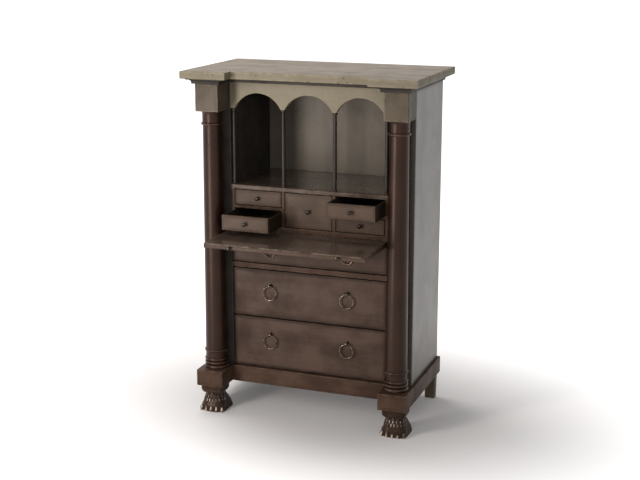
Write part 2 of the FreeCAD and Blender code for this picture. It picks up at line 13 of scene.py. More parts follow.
import bpy
import numpy as np
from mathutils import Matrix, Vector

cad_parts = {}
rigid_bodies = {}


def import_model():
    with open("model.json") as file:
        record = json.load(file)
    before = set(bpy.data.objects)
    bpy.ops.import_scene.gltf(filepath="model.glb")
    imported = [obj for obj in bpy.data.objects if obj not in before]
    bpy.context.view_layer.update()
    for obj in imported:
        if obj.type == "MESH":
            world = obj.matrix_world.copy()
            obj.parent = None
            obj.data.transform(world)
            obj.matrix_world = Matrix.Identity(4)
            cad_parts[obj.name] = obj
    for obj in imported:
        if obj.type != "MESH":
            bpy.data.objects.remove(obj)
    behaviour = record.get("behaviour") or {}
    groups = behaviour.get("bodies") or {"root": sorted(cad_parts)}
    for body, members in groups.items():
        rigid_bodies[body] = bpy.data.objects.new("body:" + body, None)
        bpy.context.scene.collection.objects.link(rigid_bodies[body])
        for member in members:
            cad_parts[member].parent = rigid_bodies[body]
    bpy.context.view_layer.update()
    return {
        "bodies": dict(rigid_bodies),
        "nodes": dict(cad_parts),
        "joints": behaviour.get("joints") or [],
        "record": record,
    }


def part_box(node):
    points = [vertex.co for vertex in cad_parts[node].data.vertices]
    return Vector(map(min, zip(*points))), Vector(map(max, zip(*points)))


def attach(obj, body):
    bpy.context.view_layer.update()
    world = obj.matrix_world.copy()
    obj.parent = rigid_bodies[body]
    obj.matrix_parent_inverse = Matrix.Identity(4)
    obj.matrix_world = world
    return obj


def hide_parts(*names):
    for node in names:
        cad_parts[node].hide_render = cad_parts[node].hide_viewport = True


LOG = logging.getLogger("escritoire")
CARCASE = "carcase"
SIDES = (("left", -1.0), ("right", 1.0))
SMALL_DRAWERS = ("upper_left", "lower_left", "centre", "upper_right", "lower_right")
LONG_DRAWERS = ("bottom", "middle", "top")
CAPITAL_WIDTH = 0.092

# Edges of boards
SHARP_ANGLE = math.radians(38.0)
LOOKS_UP = 0.95  # least upward part of the normal of an upper face
EDGE_STEPS = 4  # points round the rounding of an edge
EDGE_BANDS = np.array([0.002, 0.006, 0.014, 0.034])  # rows beside an edge, from the end of its rounding
LEAST_BAND = 0.0005  # rows nearer than this to the middle of a board are left out
MOST_ROUND = 0.9  # most rounding, as a share of half the thickness
WELD_DIGITS = 7  # decimals to which points of two sides have to agree to be one
WEAR_REACH = 0.005  # how fast wear fades beside an edge
SIDE_WEAR = 0.25  # wear on the flat of a moulded edge
DENT_SEEDS = (3, 8)  # noises of the lower and of the upper edge
DENT_SPREAD = 5  # width of a dent in points of the outline
DENT_START = 0.62  # noise above this is a dent

# The timber that pieces are cut from
TIMBER_SIZE = 3.0  # places in it run from zero to this
TIMBER_START = 0.37  # added to the sums before their fractions are taken
TIMBER_WEIGHTS = np.array([[17.3, 5.1, 9.7], [3.9, 13.7, 7.1], [8.3, 2.9, 19.1]])

QUARTER = math.pi / 2
FULL_TURN = 2 * math.pi
MILLIMETRES = 1000.0  # in a metre
TINY = 1e-6  # keeps a divisor from zero
MIRROR = np.array([-1.0, 1.0])

Pair = tuple[float, float]
Triple = tuple[float, float, float]
Colour = tuple[float, float, float]
Box = tuple[np.ndarray, np.ndarray]
NamePair = tuple[str, str]
Groups = dict[str, bpy.types.NodeTree]
WHITE: Colour = (1.0, 1.0, 1.0)


class Grain(Enum):
    """The way the fibres of a board run."""

    ACROSS = 0
    DEEP = 1
    UPRIGHT = 2


class Slot(Enum):
    """Material slots of the record."""

    STAINED = "stained_wood"
    LINING = "lining_wood"
    BRASS = "antique_brass"
    BRONZE = "dark_bronze"


@dataclass
class Surface:
    """A mesh held in arrays, with what the finishes read at each point."""

    points: np.ndarray
    quads: np.ndarray
    grain: np.ndarray
    edge: np.ndarray
    tris: np.ndarray = field(default_factory=lambda: np.empty((0, 3), int))
    ends: list[np.ndarray] = field(default_factory=list)

    def volume(self) -> float:
        """Signed volume: a sixth of the sum, over all triangles, of the triple product of their corners.

        Returns:
            The volume, below zero where the faces look inwards.
        """
        fans = [self.quads[:, [0, 1, 2]], self.quads[:, [0, 2, 3]], self.tris]
        fans += [np.stack([np.full(len(e) - 2, e[0]), e[1:-1], e[2:]], 1) for e in self.ends]
        a, b, c = np.moveaxis(self.points[np.concatenate(fans)], 1, 0)
        return float(np.einsum("ij,ij->i", a, np.cross(b, c)).sum() / 6)

    def outward(self) -> Surface:
        """Turns the faces to the outside.

        Returns:
            The same surface.
        """
        if self.volume() < 0:
            self.quads = self.quads[:, ::-1]
            self.tris = self.tris[:, ::-1]
            self.ends = [e[::-1] for e in self.ends]
        return self

    def moved(self, x: float, y: float, z: float) -> Surface:
        """A copy at another place, cut from another part of the timber.

        Args:
            x, y, z: how far the copy moves.

        Returns:
            The moved copy.
        """
        step = np.array([x, y, z])
        return Surface(self.points + step, self.quads, self.grain + plank_offset(step), self.edge,
                       self.tris, self.ends)


def joined(surfaces: list[Surface]) -> Surface:
    """Puts several surfaces into one.

    Args:
        surfaces: the surfaces, in any order.

    Returns:
        One surface with all their faces.
    """
    counts = [len(s.points) for s in surfaces]
    starts = np.concatenate([[0], np.cumsum(counts)[:-1]]).astype(int)
    return Surface(np.concatenate([s.points for s in surfaces]),
                   np.concatenate([s.quads + n for s, n in zip(surfaces, starts)]),
                   np.concatenate([s.grain for s in surfaces]),
                   np.concatenate([s.edge for s in surfaces]),
                   np.concatenate([s.tris + n for s, n in zip(surfaces, starts)]),
                   [e + n for s, n in zip(surfaces, starts) for e in s.ends])


def plank_offset(place: np.ndarray) -> np.ndarray:
    """A fixed place in the timber for each place in the desk: fractions of weighted sums of coordinates."""
    return np.modf(np.abs(TIMBER_WEIGHTS @ place) + TIMBER_START)[0] * TIMBER_SIZE


def grain_of(points: np.ndarray, grain: Grain) -> np.ndarray:
    """Grain coordinates: the first runs with the fibres, and each piece has its own place in the timber."""
    return np.roll(points, -grain.value, axis=1) + plank_offset(points.min(0))


def grid_cells(rows: int, columns: int, wrap: bool = False) -> np.ndarray:
    """Corner numbers of the cells of a grid of points.

    Args:
        rows: points in the first direction.
        columns: points in the second direction.
        wrap: True where the last column meets the first.

    Returns:
        One row of four numbers for each cell.
    """
    index = np.arange(rows * columns).reshape(rows, columns)
    if wrap:
        index = np.concatenate([index, index[:, :1]], axis=1)
    corner = (index[:-1, :-1], index[1:, :-1], index[1:, 1:], index[:-1, 1:])
    return np.stack([c.reshape(-1) for c in corner], 1)


def edge_wear(depth: np.ndarray, radius: float, reach: float = WEAR_REACH) -> np.ndarray:
    """Wear beside a rounded edge: one on the rounding, falling off exponentially past it."""
    return np.exp(-np.maximum(depth - radius, 0.0) / reach)


def axis_stops(half: float, radius: float) -> np.ndarray:
    """Grid stops across a board: tangent steps round each edge, bands beside it and the plain middle.

    Args:
        half: half the board's length along this axis.
        radius: rounding of the edges.

    Returns:
        Stops from minus half to half.
    """
    bends = half - radius + radius * np.tan(np.linspace(QUARTER / 2, 0.0, EDGE_STEPS))
    bands = half - radius - EDGE_BANDS
    outer = np.concatenate([bends, bands[bands > LEAST_BAND]])
    return np.concatenate([-outer, [0.0], outer[::-1]])


def rounded_board(box: Box, radius: float, grain: Grain, worn: float = WEAR_REACH) -> Surface:
    """A board with round edges: an inner box grown by a ball.

    Each point of a grid on the six sides keeps its nearest point of the inner box, and stands off it by
    the radius in the direction of the grid point.

    Args:
        box: lowest and highest corner.
        radius: rounding of the edges.
        grain: the way the fibres run.
        worn: how far the wear reaches from the edges.

    Returns:
        The closed surface.
    """
    low, high = box
    half = (high - low) / 2
    radius = min(radius, MOST_ROUND * half.min())
    stops = [axis_stops(h, radius) for h in half]
    patches, quads, start = [], [], 0
    for axis in range(3):
        u, v = [a for a in range(3) if a != axis]
        grid_u, grid_v = np.meshgrid(stops[u], stops[v], indexing="ij")
        cells = grid_cells(*grid_u.shape)
        for _, sign in SIDES:
            patch = np.empty(grid_u.shape + (3,))
            patch[..., axis] = sign * half[axis]
            patch[..., u] = grid_u
            patch[..., v] = grid_v
            patches.append(patch.reshape(-1, 3))
            turned = (sign > 0) == (axis == 1)
            quads.append((cells[:, ::-1] if turned else cells) + start)
            start += len(patches[-1])
    flat = np.concatenate(patches)
    _, first, back = np.unique(np.round(flat, WELD_DIGITS), axis=0, return_index=True, return_inverse=True)
    flat = flat[first]
    core = np.clip(flat, -(half - radius), half - radius)
    reach = flat - core
    points = core + radius * reach / np.linalg.norm(reach, axis=1, keepdims=True)
    edge = edge_wear(np.sort(half - np.abs(flat), axis=1)[:, 1], radius, worn)
    points = points + (low + high) / 2
    faces = back.reshape(-1)[np.concatenate(quads)]
    return Surface(points, faces, grain_of(points, grain), edge).outward()


def lofted(loops: np.ndarray, edge: np.ndarray, grain: Grain) -> Surface:
    """A skin through closed loops of points, one after the other, with a flat face on the first and the last.

    Args:
        loops: coordinates by loop and by point.
        edge: wear, in a shape that spreads over loops and points.
        grain: the way the fibres run.

    Returns:
        The closed surface.
    """
    count, size = loops.shape[:2]
    points = loops.reshape(-1, 3)
    first = np.arange(size)
    last = first + size * (count - 1)
    wear = np.broadcast_to(edge, (count, size)).reshape(-1)
    return Surface(points, grid_cells(count, size, True), grain_of(points, grain), wear,
                   ends=[first, last[::-1]]).outward()


def run_shares(outline: np.ndarray, pitch: float) -> tuple[np.ndarray, np.ndarray]:
    """Even steps along the straight runs of a closed outline.

    Args:
        outline: corners, in order.
        pitch: about how far apart the steps lie.

    Returns:
        The run that each step belongs to, and how far along the run it lies.
    """
    lengths = np.linalg.norm(np.roll(outline, -1, axis=0) - outline, axis=1)
    counts = np.maximum(np.round(lengths / pitch), 1).astype(int)
    owner = np.repeat(np.arange(len(outline)), counts)
    share = (np.arange(len(owner)) - np.repeat(np.cumsum(counts) - counts, counts)) / counts[owner]
    return owner, share


def mitres(path: np.ndarray, closed: bool) -> np.ndarray:
    """Outward mitre at each point of an anticlockwise path: the sum of the two edge normals over one plus
    their product.

    Args:
        path: points of the path.
        closed: True where the last point joins the first.

    Returns:
        One mitre vector for each point.
    """
    ahead = np.roll(path, -1, axis=0) - path
    ahead = ahead / np.linalg.norm(ahead, axis=1, keepdims=True)
    normal = np.stack([ahead[:, 1], -ahead[:, 0]], 1)
    if not closed:
        normal[-1] = normal[-2]
    before = np.roll(normal, 1, axis=0)
    if not closed:
        before[0] = normal[0]
    return (normal + before) / (1 + np.sum(normal * before, axis=1, keepdims=True))


def ripple(count: int, seed: int, spread: int) -> np.ndarray:
    """Smooth noise along a closed outline, between zero and one: random steps passed through a round window.

    Args:
        count: points of the outline.
        seed: number of the noise.
        spread: width of the window in points.

    Returns:
        One value for each point.
    """
    raw = np.random.default_rng(seed).random(count)
    window = np.hanning(spread + 2)[1:-1]
    looped = np.concatenate([raw[-spread:], raw, raw[:spread]])
    smooth = np.convolve(looped, window / window.sum(), "same")[spread:-spread]
    return (smooth - smooth.min()) / (smooth.max() - smooth.min())


def moulded_board(outline: np.ndarray, levels: Pair, radius: float, grain: Grain, pitch: float,
                  dent: float = 0.0) -> Surface:
    """A lying board of any straight-edged outline with round, slightly dented edges.

    The outline is repeated on rows that follow a rounded edge profile. Each row is moved in along the mitres
    of the corners, and its runs are then stepped evenly and worn in by a smooth noise.

    Args:
        outline: anticlockwise corners.
        levels: level of the lower and of the upper face.
        radius: rounding of the edges.
        grain: the way the fibres run.
        pitch: length of a step.
        dent: depth of the deepest dents in the edges.

    Returns:
        The closed surface.
    """
    low, high = levels
    turns = np.linspace(0.0, QUARTER, EDGE_STEPS)
    bands = radius + EDGE_BANDS[::-1]
    flat = np.zeros(len(bands))
    curve_in, curve_up = radius * (1 - np.sin(turns)), radius * (1 - np.cos(turns))
    inset = np.concatenate([bands, curve_in, [0.0], curve_in[::-1], bands[::-1]])
    lower, upper = [low + flat, low + curve_up], [high - curve_up[::-1], high + flat]
    level = np.concatenate([*lower, [(low + high) / 2], *upper])
    middle = len(inset) // 2
    edge = edge_wear(inset, radius)
    edge[middle] = SIDE_WEAR
    owner, share = run_shares(outline, pitch)
    corner_rows = outline[None] - inset[:, None, None] * mitres(outline, True)[None]
    runs = np.roll(corner_rows, -1, axis=1) - corner_rows
    rows = corner_rows[:, owner] + runs[:, owner] * share[None, :, None]
    ahead = runs[0] / np.linalg.norm(runs[0], axis=1, keepdims=True)
    normal = np.stack([ahead[:, 1], -ahead[:, 0]], 1)[owner]
    bends = (slice(middle - EDGE_STEPS, middle), slice(middle + 1, middle + 1 + EDGE_STEPS))
    for seed, bend in zip(DENT_SEEDS, bends):
        worn = np.clip(ripple(len(owner), seed, DENT_SPREAD) - DENT_START, 0.0, 1.0) / (1 - DENT_START)
        rows[bend] = rows[bend] - dent * worn[None, :, None] * normal[None]
    heights = np.broadcast_to(level[:, None, None], rows.shape[:2] + (1,))
    return lofted(np.concatenate([rows, heights], 2), edge[:, None], grain)


def swept_moulding(path: np.ndarray, profile: np.ndarray, edge: np.ndarray, grain: Grain) -> Surface:
    """A moulding: its profile carried along an open path, with mitred corners and flat ends.

    Args:
        path: level path, anticlockwise round the object.
        profile: closed loop of reach and level, one row each.
        edge: wear of each profile point.
        grain: the way the fibres run.

    Returns:
        The closed surface.
    """
    spread = path[:, None] + profile[None, :, :1] * mitres(path, False)[:, None]
    level = np.broadcast_to(profile[None, :, 1:], spread.shape[:2] + (1,))
    return lofted(np.concatenate([spread, level], 2), edge, grain)


def turned_surface(profile: np.ndarray, segments: int, edge: np.ndarray | None = None) -> Surface:
    """A turned piece about an upright axis: its profile swept round, with a point at each end of the axis.

    Args:
        profile: rows of radius and level, with radius zero at both ends.
        segments: steps round the axis.
        edge: wear of each profile point, none where left out.

    Returns:
        The closed surface, with upright grain.
    """
    ring = np.arange(segments)
    turn = ring * FULL_TURN / segments
    body = profile[1:-1]
    level = np.broadcast_to(body[:, 1:], (len(body), segments))
    rings = np.stack([body[:, :1] * np.cos(turn), body[:, :1] * np.sin(turn), level], 2).reshape(-1, 3)
    poles = np.array([[0.0, 0.0, profile[0, 1]], [0.0, 0.0, profile[-1, 1]]])
    points = np.concatenate([rings, poles])
    after = np.roll(ring, -1)
    top = (len(body) - 1) * segments
    count = len(rings)
    tris = np.concatenate([np.stack([np.full(segments, count), ring, after], 1),
                           np.stack([np.full(segments, count + 1), after + top, ring + top], 1)])
    wear = np.zeros(len(points))
    if edge is not None:
        wear[:count] = np.repeat(edge[1:-1], segments)
    cells = grid_cells(len(body), segments, True)
    return Surface(points, cells, grain_of(points, Grain.UPRIGHT), wear, tris).outward()


def to_front(surface: Surface) -> Surface:
    """Tips a piece turned about the upright axis so that its top points to the front, and returns it."""
    surface.points = np.stack([surface.points[:, 0], -surface.points[:, 2], surface.points[:, 1]], 1)
    return surface


def bead(base: float, reach: float, low: float, high: float, count: int = 9) -> np.ndarray:
    """Profile of a turned bead: half a sine wave from the base radius out to the reach and back.

    Args:
        base: radius beside the bead.
        reach: radius at its crown.
        low: level of its lower end.
        high: level of its upper end.
        count: points.

    Returns:
        Rows of radius and level.
    """
    turn = np.linspace(0.0, math.pi, count)
    return np.stack([base + (reach - base) * np.sin(turn), low + (high - low) * (1 - np.cos(turn)) / 2], 1)


def surface_net(values: np.ndarray, origin: np.ndarray, step: float) -> tuple[np.ndarray, np.ndarray]:
    """Skin of a field of signed distances.

    Each cell that the skin crosses gets one point, the mean of the crossings on its twelve edges, and each
    grid edge that it crosses gets one quad through the four cells round it.

    Args:
        values: distances on a grid, below zero inside, above zero on the grid's outside.
        origin: place of the first grid point.
        step: grid pitch.

    Returns:
        Points and quads.
    """
    cells = tuple(np.array(values.shape) - 1)
    offsets = np.array([[i, j, k] for i in (0, 1) for j in (0, 1) for k in (0, 1)])
    corner = [values[i:i + cells[0], j:j + cells[1], k:k + cells[2]] for i, j, k in offsets]
    total = np.zeros(cells + (3,), np.float32)
    crossings = np.zeros(cells, np.float32)
    for a in range(8):
        for b in range(a + 1, 8):
            if np.abs(offsets[a] - offsets[b]).sum() != 1:
                continue
            cut = (corner[a] < 0) != (corner[b] < 0)
            gap = np.where(cut, corner[a] - corner[b], 1.0)
            share = np.where(cut, corner[a] / gap, 0.0)
            total += cut[..., None] * offsets[a] + share[..., None] * (offsets[b] - offsets[a])
            crossings += cut
    used = crossings > 0
    number = np.full(cells, -1)
    number[used] = np.arange(used.sum())
    place = np.argwhere(used) + total[used] / crossings[used][:, None]
    quads = []
    inside = values < 0
    for axis in range(3):
        order = (axis, (axis + 1) % 3, (axis + 2) % 3)
        lower = np.moveaxis(inside, order, (0, 1, 2))[:, 1:-1, 1:-1].astype(int)
        block = np.moveaxis(number, order, (0, 1, 2))
        change = lower[:-1] - lower[1:]
        ring = np.stack([block[:, :-1, :-1], block[:, 1:, :-1], block[:, 1:, 1:], block[:, :-1, 1:]], -1)
        quads += [ring[change > 0], ring[change < 0][:, ::-1]]
    return origin + step * place, np.concatenate(quads)


def egg(grid: np.ndarray, centre: np.ndarray, sizes: Triple, axes: np.ndarray) -> np.ndarray:
    """Near distance to an egg: k (k - 1) / m, with k and m the lengths of the place divided by the half axes
    once and twice.

    Args:
        grid: places, one triple each.
        centre: middle of the egg.
        sizes: its three half axes.
        axes: their directions, one row each.

    Returns:
        One distance for each place.
    """
    half = np.array(sizes)
    local = (grid - centre) @ axes.T
    once = np.linalg.norm(local / half, axis=-1)
    twice = np.linalg.norm(local / half ** 2, axis=-1)
    return once * (once - 1) / np.maximum(twice, TINY)


def soft_union(a: np.ndarray, b: np.ndarray, blend: float) -> np.ndarray:
    """Union of two distance fields with a hollow of the width blend where they meet."""
    share = np.clip(0.5 + 0.5 * (b - a) / blend, 0.0, 1.0)
    return b + (a - b) * share - blend * share * (1 - share)


def aimed(turn: float, droop: float) -> np.ndarray:
    """Directions of a carved lock or toe: to the front, turned to one side and tipped down, in degrees.

    Args:
        turn: turn to the right.
        droop: tip below level.

    Returns:
        Rows for its length, its width and its height.
    """
    side, fall = math.radians(turn), math.radians(droop)
    ahead = np.array([math.sin(side) * math.cos(fall), -math.cos(side) * math.cos(fall), -math.sin(fall)])
    across = np.array([math.cos(side), math.sin(side), 0.0])
    return np.stack([ahead, across, np.cross(ahead, across)])


def opaque(colour: Colour) -> tuple[float, float, float, float]:
    """A colour as sockets take it."""
    return (*colour, 1.0)


@dataclass(frozen=True)
class Noise:
    """A noise: how often it changes in a metre, alike or by axis, and how many finer layers it has."""

    scale: float | Triple
    detail: float


class Sheet:
    """Short ways to lay out the nodes of a material or a node group."""

    def __init__(self, tree: bpy.types.NodeTree) -> None:
        """Starts on an empty tree."""
        self.tree = tree
        tree.nodes.clear()

    def add(self, kind: str, inputs: dict | None = None, **settings: object) -> bpy.types.Node:
        """Adds a node.

        Args:
            kind: Blender's name of the node's type.
            inputs: values or sockets for its inputs, by name or number.
            **settings: properties of the node.

        Returns:
            The node.
        """
        node = self.tree.nodes.new(kind)
        for name, value in settings.items():
            setattr(node, name, value)
        for name, value in (inputs or {}).items():
            if isinstance(value, bpy.types.NodeSocket):
                self.tree.links.new(value, node.inputs[name])
            else:
                node.inputs[name].default_value = value
        return node

    def maths(self, operation: str, a: object, b: object) -> bpy.types.NodeSocket:
        """Adds an operation on two values and returns its result."""
        return self.add("ShaderNodeMath", {0: a, 1: b}, operation=operation).outputs[0]

    def times(self, a: object, b: object) -> bpy.types.NodeSocket:
        """Adds a product of two values and returns its result."""
        return self.maths("MULTIPLY", a, b)

    def span(self, value: object, ends: Pair, low: float = 0.0, high: float = 1.0) -> bpy.types.NodeSocket:
        """Adds a smooth step from low to high, between the two ends of a value.

        Args:
            value: the value.
            ends: where the step starts and stops.
            low: result at its start.
            high: result at its end.

        Returns:
            The result.
        """
        limits = {"From Min": ends[0], "From Max": ends[1], "To Min": low, "To Max": high}
        node = self.add("ShaderNodeMapRange", {"Value": value, **limits}, interpolation_type="SMOOTHSTEP")
        return node.outputs[0]

    def mix(self, share: object, a: object, b: object) -> bpy.types.NodeSocket:
        """Adds a mix of two colours and returns its result."""
        return self.add("ShaderNodeMix", {0: share, 6: a, 7: b}, data_type="RGBA").outputs[2]

    def stretched(self, vector: object, scale: Triple) -> bpy.types.NodeSocket:
        """Adds a mapping that stretches a pattern and returns its vector."""
        return self.add("ShaderNodeMapping", {"Vector": vector, "Scale": scale}).outputs[0]

    def noise(self, vector: object, pattern: Noise) -> bpy.types.NodeSocket:
        """Adds a noise.

        Args:
            vector: where it is read.
            pattern: its sizes.

        Returns:
            Its value.
        """
        scale = pattern.scale
        if isinstance(scale, tuple):
            vector, scale = self.stretched(vector, scale), 1.0
        settings = {"Vector": vector, "Scale": scale, "Detail": pattern.detail}
        return self.add("ShaderNodeTexNoise", settings).outputs["Fac"]


def new_group(name: str, values_in: tuple[str, ...], values_out: tuple[str, ...]) -> Sheet:
    """Starts a shader node group that reads a vector.

    Args:
        name: its name.
        values_in: names of the values that it reads too.
        values_out: names of the values that it puts out.

    Returns:
        A sheet to fill it on.
    """
    tree = bpy.data.node_groups.new(name, "ShaderNodeTree")
    tree.interface.new_socket(name="Vector", in_out="INPUT", socket_type="NodeSocketVector")
    for way, labels in (("INPUT", values_in), ("OUTPUT", values_out)):
        for label in labels:
            tree.interface.new_socket(name=label, in_out=way, socket_type="NodeSocketFloat")
    return Sheet(tree)


@dataclass(frozen=True)
class WoodFigure:
    """Wood figure: broad bands and fine streaks along the first coordinate, clouds and short dark pores."""

    bands: Noise = Noise((1.1, 13.0, 13.0), 3.0)
    streaks: Noise = Noise((6.0, 170.0, 170.0), 4.0)
    cloud: Noise = Noise(11.0, 3.0)
    pores: Noise = Noise((45.0, 1100.0, 1100.0), 1.0)
    pore_span: Pair = (0.62, 0.74)
    figure_span: Pair = (0.38, 0.68)
    band_share: float = 0.38
    streak_share: float = 0.14
    cloud_share: float = 0.55
    streak_height: float = 0.5
    pore_depth: float = 0.5

    def group(self) -> bpy.types.NodeTree:
        """Lays out the node group.

        Returns:
            The group, with the figure, the pores and a height for bumps.
        """
        sheet = new_group("wood figure", (), ("Figure", "Pores", "Height"))
        vector = sheet.add("NodeGroupInput").outputs["Vector"]
        bands = sheet.noise(vector, self.bands)
        streaks = sheet.noise(vector, self.streaks)
        cloud = sheet.noise(vector, self.cloud)
        pores = sheet.span(sheet.noise(vector, self.pores), self.pore_span)
        lines = sheet.maths("ADD", sheet.times(bands, self.band_share),
                            sheet.times(streaks, self.streak_share))
        figure = sheet.maths("ADD", lines, sheet.times(cloud, self.cloud_share))
        height = sheet.maths("SUBTRACT", sheet.times(streaks, self.streak_height),
                             sheet.times(pores, self.pore_depth))
        figure = sheet.span(figure, self.figure_span)
        sheet.add("NodeGroupOutput", {"Figure": figure, "Pores": pores, "Height": height})
        return sheet.tree


@dataclass(frozen=True)
class WoodWear:
    """Wear of old wood: edges rubbed lighter in patches, dark specks, and a cloudy dark glazing near the
    edges that is partly real and partly painted shade in the gaps between parts.
    """

    patch: Noise = Noise(38.0, 3.0)
    patch_span: Pair = (0.34, 0.70)
    speck_scale: Triple = (60.0, 95.0, 95.0)
    speck_span: Pair = (0.26, 0.12)
    speck_edge: float = 0.35
    speck_choice: Pair = (0.97, 1.04)
    cloud: Noise = Noise(22.0, 2.0)
    cloud_span: Pair = (0.25, 0.70)
    cloud_least: float = 0.35
    glaze_and_gap_shade_span: Pair = (0.02, 0.60)

    def group(self) -> bpy.types.NodeTree:
        """Lays out the node group.

        Returns:
            The group, with masks for the rubbed places, the specks, and the dark edge glazing that is partly
            painted gap shade.
        """
        sheet = new_group("wood wear", ("Edge",), ("Rubbed", "Specks", "Glaze"))
        source = sheet.add("NodeGroupInput").outputs
        vector, edge = source["Vector"], source["Edge"]
        patch = sheet.span(sheet.noise(vector, self.patch), self.patch_span)
        rubbed = sheet.times(sheet.times(edge, edge), patch)
        spots = sheet.add("ShaderNodeTexVoronoi", {"Vector": sheet.stretched(vector, self.speck_scale),
                                                   "Scale": 1.0, "Randomness": 1.0}).outputs
        near = sheet.span(spots["Distance"], self.speck_span)
        tint = sheet.add("ShaderNodeSeparateColor", {"Color": spots["Color"]}).outputs[0]
        rare = sheet.span(sheet.maths("ADD", tint, sheet.times(edge, self.speck_edge)), self.speck_choice)
        cloud = sheet.span(sheet.noise(vector, self.cloud), self.cloud_span, self.cloud_least)
        # dark near the edges: partly glazing, partly painted shade in the gaps between parts
        glaze = sheet.times(sheet.span(edge, self.glaze_and_gap_shade_span), cloud)
        specks = sheet.times(near, rare)
        sheet.add("NodeGroupOutput", {"Rubbed": rubbed, "Specks": specks, "Glaze": glaze})
        return sheet.tree


@dataclass(frozen=True)
class MetalPatina:
    """Patina of old metal: cloudy tarnish and fine pits."""

    cloud: Noise = Noise(130.0, 4.0)
    cloud_span: Pair = (0.38, 0.66)
    pits: Noise = Noise(900.0, 2.0)

    def group(self) -> bpy.types.NodeTree:
        """Lays out the node group.

        Returns:
            The group, with a tarnish mask and a height for bumps.
        """
        sheet = new_group("metal patina", (), ("Tarnish", "Height"))
        vector = sheet.add("NodeGroupInput").outputs["Vector"]
        tarnish = sheet.span(sheet.noise(vector, self.cloud), self.cloud_span)
        pits = sheet.noise(vector, self.pits)
        sheet.add("NodeGroupOutput", {"Tarnish": tarnish, "Height": pits})
        return sheet.tree


@dataclass(frozen=True)
class WoodFinish:
    """A stained and waxed wood."""

    name: str
    dark: Colour
    light: Colour
    rubbed: Colour
    slot: Slot = Slot.STAINED
    roughness: float = 0.42
    roughness_spread: float = 0.05
    wear: float = 0.40
    specks: float = 0.5
    coat: float = 0.04
    coat_roughness: float = 0.30
    gloss: float = 0.07
    glaze: float = 0.0
    sheen: Colour = WHITE
    deep_share: float = 0.35
    pore_share: float = 0.45
    speck_roughness: float = 0.3
    speck_depth: float = 2.0
    bump_strength: float = 0.12
    bump_distance: float = 0.0006
    coat_worn: Pair = (0.08, 0.28)

    def material(self, groups: Groups, grain: Grain | None = None) -> bpy.types.Material:
        """Builds the wood.

        Args:
            groups: shared node groups by name.
            grain: the way the fibres run on a piece with no grain of its own.

        Returns:
            The material.
        """
        label = self.name if grain is None else f"{self.name} {grain.name.lower()}"
        material = bpy.data.materials.new(label)
        material.use_nodes = True
        sheet = Sheet(material.node_tree)
        vector = self.fibres(sheet, grain)
        edge = sheet.add("ShaderNodeAttribute", attribute_name="edge").outputs["Fac"]
        figure = sheet.add("ShaderNodeGroup", node_tree=groups["figure"])
        wear = sheet.add("ShaderNodeGroup", node_tree=groups["wear"])
        for node in (figure, wear):
            sheet.tree.links.new(vector, node.inputs["Vector"])
        sheet.tree.links.new(edge, wear.inputs["Edge"])
        figure, wear = figure.outputs, wear.outputs
        deep = opaque(tuple(self.deep_share * c for c in self.dark))
        colour = sheet.mix(figure["Figure"], opaque(self.dark), opaque(self.light))
        colour = sheet.mix(sheet.times(figure["Pores"], self.pore_share), colour, deep)
        # darkens the edges: partly glazing, partly painted shade in the gaps round drawers and boards
        colour = sheet.mix(sheet.times(wear["Glaze"], self.glaze), colour, deep)
        colour = sheet.mix(sheet.times(wear["Rubbed"], self.wear), colour, opaque(self.rubbed))
        specks = sheet.times(wear["Specks"], self.specks)
        colour = sheet.mix(specks, colour, deep)
        rough = sheet.span(figure["Figure"], (0.0, 1.0), self.roughness + self.roughness_spread,
                           self.roughness - self.roughness_spread)
        rough = sheet.maths("ADD", rough, sheet.times(specks, self.speck_roughness))
        height = sheet.maths("SUBTRACT", figure["Height"], sheet.times(specks, self.speck_depth))
        bump = sheet.add("ShaderNodeBump", {"Strength": self.bump_strength, "Distance": self.bump_distance,
                                            "Height": height})
        shader = sheet.add("ShaderNodeBsdfPrincipled", {
            "Base Color": colour, "Roughness": rough, "Normal": bump.outputs[0],
            "Specular IOR Level": self.gloss, "Specular Tint": opaque(self.sheen),
            "Coat Weight": self.coat, "Coat Roughness": self.coat_roughness})
        if self.coat > 0 and grain is None:
            coat = sheet.span(edge, self.coat_worn, self.coat, 0.0)
            sheet.tree.links.new(coat, shader.inputs["Coat Weight"])
        sheet.add("ShaderNodeOutputMaterial", {"Surface": shader.outputs[0]})
        return material

    @staticmethod
    def fibres(sheet: Sheet, grain: Grain | None) -> bpy.types.NodeSocket:
        """Adds the coordinates that run with the fibres.

        Args:
            sheet: where the nodes go.
            grain: the way the fibres run, or None where the piece says so itself.

        Returns:
            The coordinates.
        """
        if grain is None:
            return sheet.add("ShaderNodeAttribute", attribute_name="grain").outputs["Vector"]
        turn = {Grain.ACROSS: (0.0, 0.0, 0.0), Grain.DEEP: (0.0, 0.0, -QUARTER),
                Grain.UPRIGHT: (0.0, QUARTER, 0.0)}[grain]
        place = sheet.add("ShaderNodeTexCoord").outputs["Object"]
        return sheet.add("ShaderNodeMapping", {"Vector": place, "Rotation": turn}).outputs[0]


